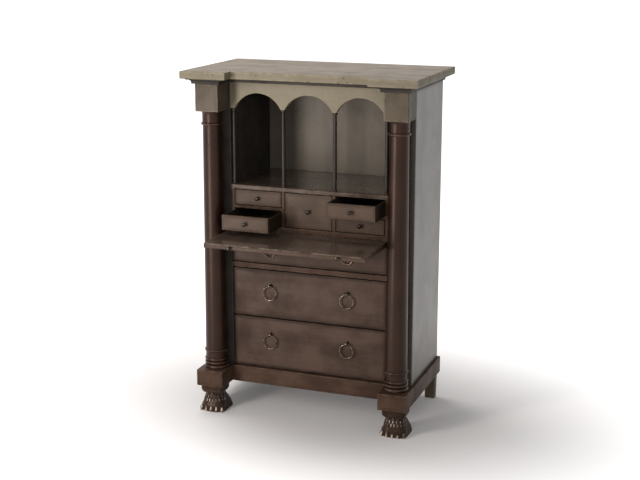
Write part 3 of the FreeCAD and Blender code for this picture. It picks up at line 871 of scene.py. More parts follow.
@dataclass(frozen=True)
class MetalFinish:
    """An old metal with tarnish."""

    name: str
    bright: Colour
    tarnish: Colour
    polished: float
    dull: float
    slot: Slot
    bump_strength: float = 0.15
    bump_distance: float = 0.0002

    def material(self, groups: Groups) -> bpy.types.Material:
        """Builds the metal.

        Args:
            groups: shared node groups by name.

        Returns:
            The material.
        """
        material = bpy.data.materials.new(self.name)
        material.use_nodes = True
        sheet = Sheet(material.node_tree)
        place = sheet.add("ShaderNodeTexCoord").outputs["Object"]
        patina = sheet.add("ShaderNodeGroup", node_tree=groups["patina"])
        sheet.tree.links.new(place, patina.inputs["Vector"])
        tarnish = patina.outputs["Tarnish"]
        colour = sheet.mix(tarnish, opaque(self.bright), opaque(self.tarnish))
        rough = sheet.span(tarnish, (0.0, 1.0), self.polished, self.dull)
        bump = sheet.add("ShaderNodeBump", {"Strength": self.bump_strength, "Distance": self.bump_distance,
                                            "Height": patina.outputs["Height"]})
        shader = sheet.add("ShaderNodeBsdfPrincipled", {
            "Base Color": colour, "Roughness": rough, "Metallic": 1.0, "Normal": bump.outputs[0]})
        sheet.add("ShaderNodeOutputMaterial", {"Surface": shader.outputs[0]})
        return material


# Case, drawer and small drawer woods darken their edges: partly glazing, partly painted shade in the gaps
# between parts.
CASE_WOOD = WoodFinish(
    "espresso case wood", (0.046, 0.025, 0.016), (0.100, 0.058, 0.040), (0.18, 0.120, 0.085),
    specks=0.6, glaze=0.35)
FRONT_WOOD = WoodFinish(
    "espresso drawer wood", (0.046, 0.027, 0.020), (0.093, 0.059, 0.044), (0.16, 0.105, 0.075),
    wear=0.15, coat=0.03, glaze=0.80)
# A lighter copy of the drawer wood: painted light that makes up for the shade on the small drawers.
SMALL_LIT_WOOD = WoodFinish(
    "espresso small drawer wood", (0.078, 0.050, 0.036), (0.110, 0.074, 0.054), (0.20, 0.140, 0.100),
    wear=0.25, coat=0.03, glaze=0.60)
SLIDE_WOOD = WoodFinish(
    "waxed slide wood", (0.070, 0.047, 0.036), (0.108, 0.076, 0.058), (0.30, 0.235, 0.180),
    roughness=0.30, roughness_spread=0.03, wear=0.35, specks=0.3, coat=1.00, coat_roughness=0.03)
SLIDE_EDGE_WOOD = replace(FRONT_WOOD, name="worn slide edge wood", rubbed=(0.26, 0.200, 0.150), wear=0.6)
GREYED_WOOD = WoodFinish(
    "greyed side wood", (0.080, 0.067, 0.054), (0.100, 0.084, 0.068), (0.18, 0.145, 0.115),
    roughness=0.40, roughness_spread=0.02, wear=0.50, coat=0.20, gloss=0.3)
PLAIN_SIDE_WOOD = replace(GREYED_WOOD, name="plain side wood", coat=0.0, gloss=0.07)
INNER_WOOD = WoodFinish(
    "gallery wood", (0.138, 0.114, 0.090), (0.172, 0.144, 0.114), (0.26, 0.215, 0.170),
    roughness_spread=0.03, specks=0.4, coat_roughness=0.20)
# Dark wood that paints the shade in recesses: the stiles behind the columns, the cove under the top and the
# gallery linings.
PAINTED_SHADE_WOOD = WoodFinish(
    "painted shade recess wood", (0.038, 0.033, 0.028), (0.064, 0.056, 0.048), (0.13, 0.105, 0.082),
    roughness=0.50, roughness_spread=0.04, coat=0.0)
BLOCK_WOOD = WoodFinish(
    "rubbed capital wood", (0.080, 0.063, 0.044), (0.126, 0.101, 0.073), (0.22, 0.175, 0.130),
    roughness_spread=0.04, wear=0.70, specks=1.0)
# Pale woods for the edges of the top and for the arcade board: partly a paler wood, partly painted light
# falling on the upper front.
PAINTED_LIGHT_SLAB_WOOD = WoodFinish(
    "pale top edge wood with painted light", (0.204, 0.174, 0.120), (0.244, 0.210, 0.148), (0.36, 0.305, 0.225),
    roughness=0.45, roughness_spread=0.02, wear=0.50, specks=1.0, coat_roughness=0.32)
PAINTED_LIGHT_FRIEZE_WOOD = WoodFinish(
    "pale arcade wood with painted light", (0.214, 0.182, 0.128), (0.252, 0.216, 0.155), (0.36, 0.305, 0.225),
    roughness=0.45, roughness_spread=0.02, wear=0.50, specks=0.35, coat_roughness=0.32)
TOP_WOOD = WoodFinish(
    "waxed top wood", (0.118, 0.083, 0.050), (0.164, 0.119, 0.075), (0.34, 0.285, 0.205),
    roughness=0.40, roughness_spread=0.03, wear=0.50, specks=0.6, coat=0.10, coat_roughness=0.22)
TURNED_WOOD = WoodFinish(
    "red brown turned wood", (0.010, 0.003, 0.002), (0.022, 0.008, 0.005), (0.14, 0.085, 0.060),
    roughness=0.36, roughness_spread=0.02, wear=0.50, specks=0.2, coat=0.0, gloss=0.27,
    sheen=(1.0, 0.76, 0.63))
SPINDLE_WOOD = replace(
    TURNED_WOOD, name="dark spindle wood", dark=(0.010, 0.007, 0.006), light=(0.022, 0.016, 0.013),
    sheen=(1.0, 0.92, 0.85))
# Its bright rubbed colour is partly wear and partly painted highlights on the claws, toes and locks of the
# paws.
CARVED_WOOD = WoodFinish(
    "waxed carved wood", (0.020, 0.010, 0.007), (0.050, 0.027, 0.019), (0.56, 0.480, 0.400),
    roughness=0.30, wear=1.0, specks=0.3, coat=0.0, coat_roughness=0.20, gloss=0.14,
    sheen=(1.0, 0.80, 0.68))
# Lining wood stained dark and darkened further as painted shade inside the drawers.
SHADE_DARK_LINING_WOOD = WoodFinish(
    "drawer lining wood", (0.026, 0.016, 0.011), (0.056, 0.035, 0.024), (0.10, 0.066, 0.046), Slot.LINING,
    roughness=0.60, roughness_spread=0.06, wear=0.1, coat=0.0)
PULL_BRASS = MetalFinish(
    "antique brass", (0.17, 0.135, 0.098), (0.038, 0.030, 0.023), 0.22, 0.46, Slot.BRASS)
KNOB_BRONZE = MetalFinish(
    "dark bronze", (0.055, 0.044, 0.035), (0.018, 0.014, 0.012), 0.26, 0.46, Slot.BRONZE)
FINISHES = (CASE_WOOD, FRONT_WOOD, SMALL_LIT_WOOD, SLIDE_WOOD, SLIDE_EDGE_WOOD, GREYED_WOOD, PLAIN_SIDE_WOOD,
            INNER_WOOD, PAINTED_SHADE_WOOD, BLOCK_WOOD, PAINTED_LIGHT_SLAB_WOOD, TOP_WOOD, PAINTED_LIGHT_FRIEZE_WOOD, TURNED_WOOD, SPINDLE_WOOD,
            CARVED_WOOD, SHADE_DARK_LINING_WOOD, PULL_BRASS, KNOB_BRONZE)


class FinishBook:
    """All finishes, built once."""

    def __init__(self) -> None:
        """Builds the shared groups and the materials of new pieces."""
        self.groups: Groups = {"figure": WoodFigure().group(), "wear": WoodWear().group(),
                               "patina": MetalPatina().group()}
        self.made = {finish.name: finish.material(self.groups) for finish in FINISHES}

    def of(self, finish: WoodFinish | MetalFinish) -> bpy.types.Material:
        """The material of a finish."""
        return self.made[finish.name]

    def on_solid(self, finish: WoodFinish, grain: Grain) -> bpy.types.Material:
        """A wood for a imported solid, which has no grain of its own.

        Args:
            finish: the wood.
            grain: the way its fibres run.

        Returns:
            The material.
        """
        label = f"{finish.name} {grain.name.lower()}"
        if label not in self.made:
            self.made[label] = finish.material(self.groups, grain)
        return self.made[label]


@dataclass
class Workshop:
    """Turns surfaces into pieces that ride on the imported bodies."""

    book: FinishBook
    count: int = 0

    def piece(self, name: str, surface: Surface, finish: WoodFinish | MetalFinish, node: str,
              body: str = CARCASE, upper: WoodFinish | None = None) -> None:
        """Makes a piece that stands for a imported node.

        Args:
            name: name of the piece.
            surface: its mesh.
            finish: its finish.
            node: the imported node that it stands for.
            body: the body that it rides on.
            upper: finish of the faces that look up, where it differs.
        """
        mesh = bpy.data.meshes.new(name)
        faces = surface.quads.tolist() + surface.tris.tolist() + [e.tolist() for e in surface.ends]
        mesh.from_pydata(surface.points.tolist(), [], faces)
        grain = mesh.attributes.new("grain", "FLOAT_VECTOR", "POINT")
        grain.data.foreach_set("vector", surface.grain.astype(np.float32).reshape(-1))
        edge = mesh.attributes.new("edge", "FLOAT", "POINT")
        edge.data.foreach_set("value", surface.edge.astype(np.float32))
        mesh.polygons.foreach_set("use_smooth", np.ones(len(mesh.polygons), bool))
        mesh.set_sharp_from_angle(angle=SHARP_ANGLE)
        mesh.materials.append(self.book.of(finish))
        if upper is not None:
            mesh.materials.append(self.book.of(upper))
            normals = np.empty(3 * len(mesh.polygons), np.float32)
            mesh.polygons.foreach_get("normal", normals)
            mesh.polygons.foreach_set("material_index", (normals[2::3] > LOOKS_UP).astype(np.int32))
        piece = bpy.data.objects.new(name, mesh)
        bpy.context.scene.collection.objects.link(piece)
        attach(piece, body)
        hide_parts(node)
        self.count += 1
        LOG.info("%s: %d faces on %s", name, len(mesh.polygons), body)

    def boards(self, name: str, boxes: list[Box], radius: float, grain: Grain | list[Grain],
               finish: WoodFinish, node: str, body: str = CARCASE) -> None:
        """Makes a piece of one or more rounded boards.

        Args:
            name: name of the piece.
            boxes: low and high corner of each board.
            radius: rounding of the edges.
            grain: the way the fibres run, for all boards or for each.
            finish: its finish.
            node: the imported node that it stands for.
            body: the body that it rides on.
        """
        ways = grain if isinstance(grain, list) else [grain] * len(boxes)
        shapes = [rounded_board(box, radius, way) for box, way in zip(boxes, ways)]
        self.piece(name, joined(shapes), finish, node, body)

    @staticmethod
    def dress(solid: bpy.types.Object, material: bpy.types.Material) -> None:
        """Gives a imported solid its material.

        Args:
            solid: the solid.
            material: its material.
        """
        solid.data.materials.clear()
        solid.data.materials.append(material)
        LOG.info("%s: kept as packed", solid.name)


def corners(node: str) -> Box:
    """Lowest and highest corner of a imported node."""
    low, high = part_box(node)
    return np.array(low), np.array(high)


def pair_boxes(node: str, width: float) -> list[Box]:
    """Boxes of two twin boards at the left and right end of a node.

    Args:
        node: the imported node.
        width: width of each board.

    Returns:
        Low and high corner of the left and of the right board.
    """
    low, high = corners(node)
    left_high, right_low = high.copy(), low.copy()
    left_high[0] = low[0] + width
    right_low[0] = high[0] - width
    return [(low, left_high), (right_low, high)]


def both_halves(right: np.ndarray) -> np.ndarray:
    """A whole outline from its right half, which runs from the front to the back."""
    return np.concatenate([right, right[::-1] * MIRROR])


@dataclass
class Case:
    """Fixed boards of the desk."""

    slab_end: float = 0.180
    slab_recess: float = 0.048
    slab_round: float = 0.003
    slab_dent: float = 0.0016
    slab_pitch: float = 0.012
    stile_width: float = 0.0785
    capital_width: float = CAPITAL_WIDTH
    plinth_width: float = 0.109
    base_side: float = 0.028
    base_back: float = 0.020
    foot_width: float = 0.044
    foot_taper: float = 0.005
    board_round: float = 0.0018
    block_round: float = 0.0034

    def slab(self) -> Surface:
        """The top board, whose middle stands back from its two ends.

        Returns:
            The closed surface.
        """
        low, high = corners("top_slab")
        step_x, recess_y = high[0] - self.slab_end, low[1] + self.slab_recess
        right = np.array([[step_x, recess_y], [step_x, low[1]], [high[0], low[1]], [high[0], high[1]]])
        return moulded_board(both_halves(right), (low[2], high[2]), self.slab_round, Grain.ACROSS,
                             self.slab_pitch, self.slab_dent)

    def base_boxes(self) -> list[Box]:
        """Boxes of the two side rails of the base and of the back rail between them.

        Returns:
            Low and high corner of each rail.
        """
        low, high = corners("base_rails")
        back_low = np.array([low[0] + self.base_side, high[1] - self.base_back, low[2]])
        back_high = np.array([high[0] - self.base_side, high[1], high[2]])
        return pair_boxes("base_rails", self.base_side) + [(back_low, back_high)]

    def back_feet(self) -> Surface:
        """Two square feet that narrow to the floor: rounded boards whose plan shrinks evenly downwards.

        Returns:
            Both closed surfaces in one.
        """
        shapes = []
        for low, high in pair_boxes("back_feet", self.foot_width):
            foot = rounded_board((low, high), self.board_round, Grain.UPRIGHT)
            middle = (low + high)[:2] / 2
            drop = (high[2] - foot.points[:, 2:]) / (high[2] - low[2])
            share = 1 - drop * self.foot_taper / (high - low)[:2]
            foot.points[:, :2] = middle + (foot.points[:, :2] - middle) * share
            shapes.append(foot)
        return joined(shapes)

    def build(self, shop: Workshop) -> None:
        """Builds the fixed boards.

        Args:
            shop: where pieces are made.
        """
        # The top's edges are pale, partly painted light; its upper faces take the waxed top wood.
        shop.piece("top_board", self.slab(), PAINTED_LIGHT_SLAB_WOOD, "top_slab", upper=TOP_WOOD)
        single = (("back_panel", Grain.UPRIGHT, INNER_WOOD),
                  ("side_panel_left", Grain.UPRIGHT, PLAIN_SIDE_WOOD),
                  ("side_panel_right", Grain.UPRIGHT, GREYED_WOOD),
                  ("base_front_rail", Grain.ACROSS, CASE_WOOD),
                  ("drawer_rail", Grain.ACROSS, CASE_WOOD))
        for node, grain, finish in single:
            shop.boards(node + "_board", [corners(node)], self.board_round, grain, finish, node)
        # The stiles are dark with painted shade, as if in the columns' shadow.
        twins = (("stile_boards", "stiles", self.stile_width, self.board_round, PAINTED_SHADE_WOOD),
                 ("capital_blocks", "capitals", self.capital_width, self.block_round, BLOCK_WOOD),
                 ("plinth_blocks", "plinths", self.plinth_width, self.block_round, CASE_WOOD))
        for name, node, width, radius, finish in twins:
            shop.boards(name, pair_boxes(node, width), radius, Grain.UPRIGHT, finish, node)
        ways = [Grain.DEEP, Grain.DEEP, Grain.ACROSS]
        shop.boards("base_boards", self.base_boxes(), self.board_round, ways, CASE_WOOD, "base_rails")
        shop.piece("square_feet", self.back_feet(), BLOCK_WOOD, "back_feet")


@dataclass
class Cornice:
    """Cove moulding under the top, carried round the front and the sides."""

    foot: float = 0.009
    foot_height: float = 0.004
    reach: float = 0.026
    lip: float = 0.003
    lip_height: float = 0.004
    capital_width: float = CAPITAL_WIDTH
    cove_steps: int = 9
    foot_wear: Triple = (0.2, 1.0, 0.8)
    lip_wear: tuple[float, ...] = (0.6, 1.0, 0.6, 0.0)

    def path(self) -> np.ndarray:
        """Level path from the back of the left side, round capitals and stiles, to that of the right side.

        Returns:
            Points of the path.
        """
        low, high = corners("cornice_moulding")
        side, front = high[0] - self.reach, low[1] + self.reach
        inner = side - self.capital_width
        step = corners("stiles")[0][1]
        right = np.array([[inner, step], [inner, front], [side, front], [side, high[1]]])
        return np.concatenate([right[::-1] * MIRROR, right])

    def profile(self) -> np.ndarray:
        """Profile of the moulding: a foot, a quarter of an ellipse and a lip.

        Returns:
            Closed loop of reach and level.
        """
        low, high = (corner[2] for corner in corners("cornice_moulding"))
        turn = np.linspace(0.0, QUARTER, self.cove_steps)
        cove_reach = self.reach - self.lip
        foot_z, lip_z = low + self.foot_height, high - self.lip_height
        cove = np.stack([self.foot + (cove_reach - self.foot) * (1 - np.cos(turn)),
                         foot_z + (lip_z - foot_z) * np.sin(turn)], 1)
        lip = [[self.reach, lip_z], [self.reach, high], [0.0, high]]
        return np.concatenate([[[0.0, low], [self.foot, low]], cove, lip])

    def build(self, shop: Workshop) -> None:
        """Builds the moulding.

        Args:
            shop: where pieces are made.
        """
        edge = np.concatenate([self.foot_wear, np.zeros(self.cove_steps - 2), self.lip_wear])
        moulding = swept_moulding(self.path(), self.profile(), edge, Grain.ACROSS)
        # The cove is dark with painted shade under the top.
        shop.piece("cove_moulding", moulding, PAINTED_SHADE_WOOD, "cornice_moulding")


@dataclass
class Columns:
    """Two turned columns with base rolls, a drum between beads, a tapering shaft and a flared neck."""

    x: float = 0.363
    foot_radius: float = 0.0410
    head_radius: float = 0.0350
    neck_radius: float = 0.0365
    bead_radius: float = 0.0450
    head_bead_radius: float = 0.0415
    torus_radius: float = 0.0460
    torus_height: float = 0.015
    ring_height: float = 0.012
    bead_height: float = 0.011
    groove: float = 0.0025
    groove_lip: float = 0.0002
    seat_inset: float = 0.002
    drum_height: float = 0.024
    neck_height: float = 0.042
    neck_lip: float = 0.0006
    flare_height: float = 0.014
    flare_start: float = 0.15
    flare_steps: int = 6
    shaft_ends: Pair = (0.04, 0.96)
    shaft_steps: int = 12
    wear_start: float = 0.0015
    wear_span: float = 0.003
    segments: int = 96

    def base(self, low: float) -> list[np.ndarray]:
        """Profile of the rolls, the drum and its bead.

        Args:
            low: level of the seat.

        Returns:
            Stretches of radius and level, upwards.
        """
        foot, z = self.foot_radius, low
        rows = [np.array([[0.0, z], [foot - self.seat_inset, z]])]
        rolls = ((self.torus_height, self.torus_radius, self.groove),
                 (self.ring_height, self.bead_radius, self.groove),
                 (self.bead_height, self.bead_radius, self.drum_height),
                 (self.bead_height, self.bead_radius, 0.0))
        for height, reach, gap in rolls:
            rows.append(bead(foot, reach, z, z + height))
            z += height
            if gap == self.groove:
                hollow = foot - self.groove
                rows.append(np.array([[hollow, z + self.groove_lip], [hollow, z + gap - self.groove_lip]]))
            z += gap
        return rows

    def profile(self, low: float, high: float) -> tuple[np.ndarray, np.ndarray]:
        """Profile of a column from its seat to its head.

        Args:
            low: level of the seat.
            high: level of the head.

        Returns:
            Rows of radius and level, and the wear of each.
        """
        foot, head, neck = self.foot_radius, self.head_radius, self.neck_radius
        rows = self.base(low)
        z = rows[-1][-1, 1]
        top = high - self.neck_height - self.bead_height
        flare = high - self.flare_height
        share = np.linspace(*self.shaft_ends, self.shaft_steps)
        rows.append(np.stack([foot + (head - foot) * share, z + (top - z) * share], 1))
        rows.append(bead(head, self.head_bead_radius, top, top + self.bead_height))
        rows.append(np.array([[neck, top + self.bead_height + self.neck_lip], [neck, flare]]))
        turn = np.linspace(self.flare_start, 1.0, self.flare_steps)
        rows.append(np.stack([neck + (foot - neck) * turn ** 2, flare + self.flare_height * turn], 1))
        rows.append(np.array([[0.0, high]]))
        profile = np.concatenate(rows)
        share = np.clip((profile[:, 1] - low) / (high - low), 0.0, 1.0)
        proud = profile[:, 0] - foot - (head - foot) * share
        return profile, np.clip((proud - self.wear_start) / self.wear_span, 0.0, 1.0)

    def build(self, shop: Workshop) -> None:
        """Builds both columns.

        Args:
            shop: where pieces are made.
        """
        for name, side in SIDES:
            low, high = corners("column_" + name)
            profile, edge = self.profile(low[2], high[2])
            column = turned_surface(profile, self.segments, edge)
            column = column.moved(side * self.x, (low[1] + high[1]) / 2, 0.0)
            shop.piece("turned_column_" + name, column, TURNED_WOOD, "column_" + name)


@dataclass
class CarvingBlock:
    """Near distances on a grid of places, in millimetres, below zero inside the wood."""

    low: np.ndarray
    size: np.ndarray
    step: float
    margin: float = 2.0
    hollows: float = 3.0
    place: np.ndarray = field(init=False)
    values: np.ndarray = field(init=False)

    def __post_init__(self) -> None:
        """Lays out the grid, whose first distances its owner sets."""
        count = np.ceil(self.size / self.step).astype(int) + 1
        axes = [low + self.step * np.arange(n) for low, n in zip(self.low, count)]
        self.place = np.stack(np.meshgrid(*axes, indexing="ij"), -1).astype(np.float32)

    def add_egg(self, centre: np.ndarray, sizes: Triple, axes: np.ndarray, blend: float) -> None:
        """Adds an egg of wood, worked out only where it reaches.

        Args:
            centre: middle of the egg.
            sizes: its half axes.
            axes: their directions.
            blend: width of the hollow where it meets the rest.
        """
        reach = max(sizes) + self.hollows * blend + self.margin
        first = np.maximum(np.floor((centre - reach - self.low) / self.step).astype(int), 0)
        last = np.ceil((centre + reach - self.low) / self.step).astype(int) + 1
        part = tuple(slice(a, b) for a, b in zip(first, last))
        self.values[part] = soft_union(self.values[part], egg(self.place[part], centre, sizes, axes), blend)


@dataclass(frozen=True)
class LockRow:
    """A row of carved locks: number, height, half width, half depth, sweep in degrees and half axes."""

    count: int
    height: float
    half_x: float
    half_y: float
    sweep: float
    sizes: Triple = (8.6, 3.7, 4.4)


@dataclass
class PawFeet:
    """Carved paws: a cuff, an ankle with locks of hair, and toes with knuckles and claws.

    Places are millimetres from the middle of the cuff on the floor, front towards minus Y.
    """

    x: float = 0.367
    middle_y: float = -0.1095
    height: float = 106.0
    step: float = 1.2
    block_low: Pair = (-57.0, -54.0)
    block_size: Pair = (114.0, 135.0)
    block_steps: float = 2.5
    cuff_half: Pair = (45.0, 39.0)
    cuff_low: float = 73.5
    cuff_corner: float = 11.0
    cuff_rises: tuple[float, ...] = (0.0, 4.0, 10.0, 18.0)
    cuff_shares: tuple[float, ...] = (0.86, 0.93, 0.985, 1.0)
    cuff_blend: float = 2.0
    levels: tuple[float, ...] = (0.0, 23.3, 46.6, 63.6, 76.3)
    half_widths: tuple[float, ...] = (51.0, 47.0, 40.0, 35.1, 34.0)
    half_depths: tuple[float, ...] = (61.0, 56.5, 44.7, 34.3, 32.0)
    set_backs: tuple[float, ...] = (16.5, 13.0, 8.2, 3.7, 1.4)
    ankle_over: float = 3.0
    corner_share: float = 0.68
    toe_count: int = 5
    toe_pitch: float = 20.6
    toe_fan: float = 5.0
    toe_front: float = -35.5
    toe_setback: float = 1.6
    toe_height: float = 10.0
    toe_sizes: Triple = (13.0, 9.6, 10.4)
    toe_droop: float = 32.0
    toe_blend: float = 1.2
    knuckle_back: float = 11.0
    knuckle_rise: float = 11.0
    knuckle_sizes: Triple = (15.0, 8.6, 8.8)
    knuckle_droop: float = 48.0
    knuckle_blend: float = 3.0
    claw_ahead: float = 11.0
    claw_drop: float = 3.0
    claw_sizes: Triple = (7.5, 3.0, 3.0)
    claw_droop: float = 66.0
    claw_blend: float = 0.6
    # Egg round each claw that bounds its painted highlight.
    glint_sizes: Triple = (9.0, 3.2, 15.0)
    glint_start: float = 0.8
    glint_fade: float = 2.0
    rows: tuple[LockRow, ...] = (LockRow(7, 70.5, 33.5, 33.0, 88.0, (5.6, 5.4, 4.6)),
                                 LockRow(9, 57.0, 35.4, 37.2, 80.0), LockRow(10, 45.5, 39.2, 44.9, 74.0))
    row_power: float = 2.7
    lock_droop: float = 72.0
    lock_blend: float = 1.2
    relief_rounds: int = 5
    relief_middle: Triple = (0.0, 0.0, 40.0)
    relief_full: float = 0.3
    relief_start: float = 0.2
    # Most wear and painted highlight that a place can get.
    most_wear_and_glint: float = 1.3

    def ankle(self, place: np.ndarray) -> np.ndarray:
        """Near distance to cuff and ankle: rounded rectangles whose sizes change with the height.

        Args:
            place: grid of places.

        Returns:
            One distance for each place.
        """
        x, y, z = np.moveaxis(place, -1, 0)
        half_x, half_y, back = (np.interp(z, self.levels, row)
                                for row in (self.half_widths, self.half_depths, self.set_backs))
        leg = self.round_plan(x, y - back, half_x, half_y, half_x * self.corner_share)
        top = self.levels[-1] + self.ankle_over
        leg = np.maximum(leg, np.abs(z - top / 2) - top / 2)
        share = np.interp(z, self.cuff_low + np.array(self.cuff_rises), self.cuff_shares)
        corner = np.full_like(x, self.cuff_corner)
        cuff = self.round_plan(x, y, self.cuff_half[0] * share, self.cuff_half[1] * share, corner)
        middle = (self.cuff_low + self.height) / 2
        cuff = np.maximum(cuff, np.abs(z - middle) - (self.height - self.cuff_low) / 2)
        return soft_union(leg, cuff, self.cuff_blend)

    @staticmethod
    def round_plan(x: np.ndarray, y: np.ndarray, half_x: np.ndarray, half_y: np.ndarray,
                   radius: np.ndarray) -> np.ndarray:
        """Distance to a rectangle with round corners, seen from above.

        Args:
            x, y: places.
            half_x, half_y: half its sides.
            radius: rounding of its corners.

        Returns:
            One distance for each place.
        """
        out_x, out_y = np.abs(x) - half_x + radius, np.abs(y) - half_y + radius
        outside = np.hypot(np.maximum(out_x, 0.0), np.maximum(out_y, 0.0))
        return outside + np.minimum(np.maximum(out_x, out_y), 0.0) - radius

    def add_toes(self, block: CarvingBlock) -> list[tuple[np.ndarray, np.ndarray]]:
        """Adds the toes, each a knuckle, a tip and a claw, side by side on a flat arc.

        Args:
            block: the wood.

        Returns:
            Place and directions of each claw.
        """
        claws = []
        for number in np.arange(self.toe_count) - (self.toe_count - 1) / 2:
            turn = self.toe_fan * number
            level = aimed(turn, 0.0)
            tip = np.array([self.toe_pitch * number, self.toe_front + self.toe_setback * number ** 2,
                            self.toe_height])
            knuckle = tip - level[0] * self.knuckle_back + [0.0, 0.0, self.knuckle_rise]
            claw = tip + level[0] * self.claw_ahead - [0.0, 0.0, self.claw_drop]
            block.add_egg(knuckle, self.knuckle_sizes, aimed(turn, self.knuckle_droop), self.knuckle_blend)
            block.add_egg(tip, self.toe_sizes, aimed(turn, self.toe_droop), self.toe_blend)
            block.add_egg(claw, self.claw_sizes, aimed(turn, self.claw_droop), self.claw_blend)
            claws.append((claw, level))
        return claws

    def add_row(self, block: CarvingBlock, row: LockRow) -> None:
        """Adds a row of locks round the front of the ankle, on a rounded rectangle seen from above.

        Args:
            block: the wood.
            row: the row.
        """
        power = self.row_power
        back = np.interp(row.height, self.levels, self.set_backs)
        for turn in np.linspace(-row.sweep, row.sweep, row.count):
            across, ahead = math.sin(math.radians(turn)), math.cos(math.radians(turn))
            stretch = (abs(across) ** power + abs(ahead) ** power) ** (-1 / power)
            centre = np.array([row.half_x * across * stretch, back - row.half_y * ahead * stretch,
                               row.height])
            block.add_egg(centre, row.sizes, aimed(turn, self.lock_droop), self.lock_blend)

    def foot(self) -> Surface:
        """Skin of one foot, in metres, standing at the origin.

        Returns:
            The closed surface.
        """
        margin = self.block_steps * self.step
        block = CarvingBlock(np.array([*self.block_low, -margin]),
                             np.array([*self.block_size, self.height + 2 * margin]), self.step)
        block.values = self.ankle(block.place)
        claws = self.add_toes(block)
        for row in self.rows:
            self.add_row(block, row)
        ends = np.abs(block.place[..., 2] - self.height / 2) - self.height / 2
        points, quads = surface_net(np.maximum(block.values, ends), block.low, self.step)
        # painted highlights round the claws, mixed with the wear and painted highlights of the high places
        glints = [self.glint(points, claw, axes) for claw, axes in claws]
        wear = np.max([self.relief(points, quads), *glints], axis=0)
        points = points / MILLIMETRES
        return Surface(points, quads, grain_of(points, Grain.UPRIGHT), wear).outward()

    def glint(self, points: np.ndarray, claw: np.ndarray, axes: np.ndarray) -> np.ndarray:
        """Painted highlight round a claw: the most deep in an egg about it, falling off evenly to none
        outside.
        """
        near = self.glint_start - egg(points, claw, self.glint_sizes, axes) / self.glint_fade
        return self.most_wear_and_glint * np.clip(near, 0.0, 1.0)

    def relief(self, points: np.ndarray, quads: np.ndarray) -> np.ndarray:
        """Wear and painted highlights of a carved skin: how far each point stands out from a copy smoothed by
        means of neighbours.

        Args:
            points: places of the skin.
            quads: its faces.

        Returns:
            Zero in the hollows, the most on the high places.
        """
        pairs = np.concatenate([quads[:, [a, (a + 1) % 4]] for a in range(4)])
        one, other = pairs.T
        count = len(points)
        degree = np.bincount(pairs.reshape(-1), minlength=count)[:, None]
        mean = points
        for _ in range(self.relief_rounds):
            sums = [np.bincount(one, axis[other], count) + np.bincount(other, axis[one], count)
                    for axis in mean.T]
            mean = np.stack(sums, 1) / degree
        out = points - np.array(self.relief_middle)
        out = out / np.linalg.norm(out, axis=1, keepdims=True)
        lift = np.sum((points - mean) * out, axis=1)
        return np.clip(lift / self.relief_full - self.relief_start, 0.0, self.most_wear_and_glint)

    def build(self, shop: Workshop) -> None:
        """Builds both feet.

        Args:
            shop: where pieces are made.
        """
        foot = self.foot()
        for name, side in SIDES:
            paw = foot.moved(side * self.x, self.middle_y, 0.0)
            shop.piece("carved_paw_" + name, paw, CARVED_WOOD, "paw_foot_" + name)


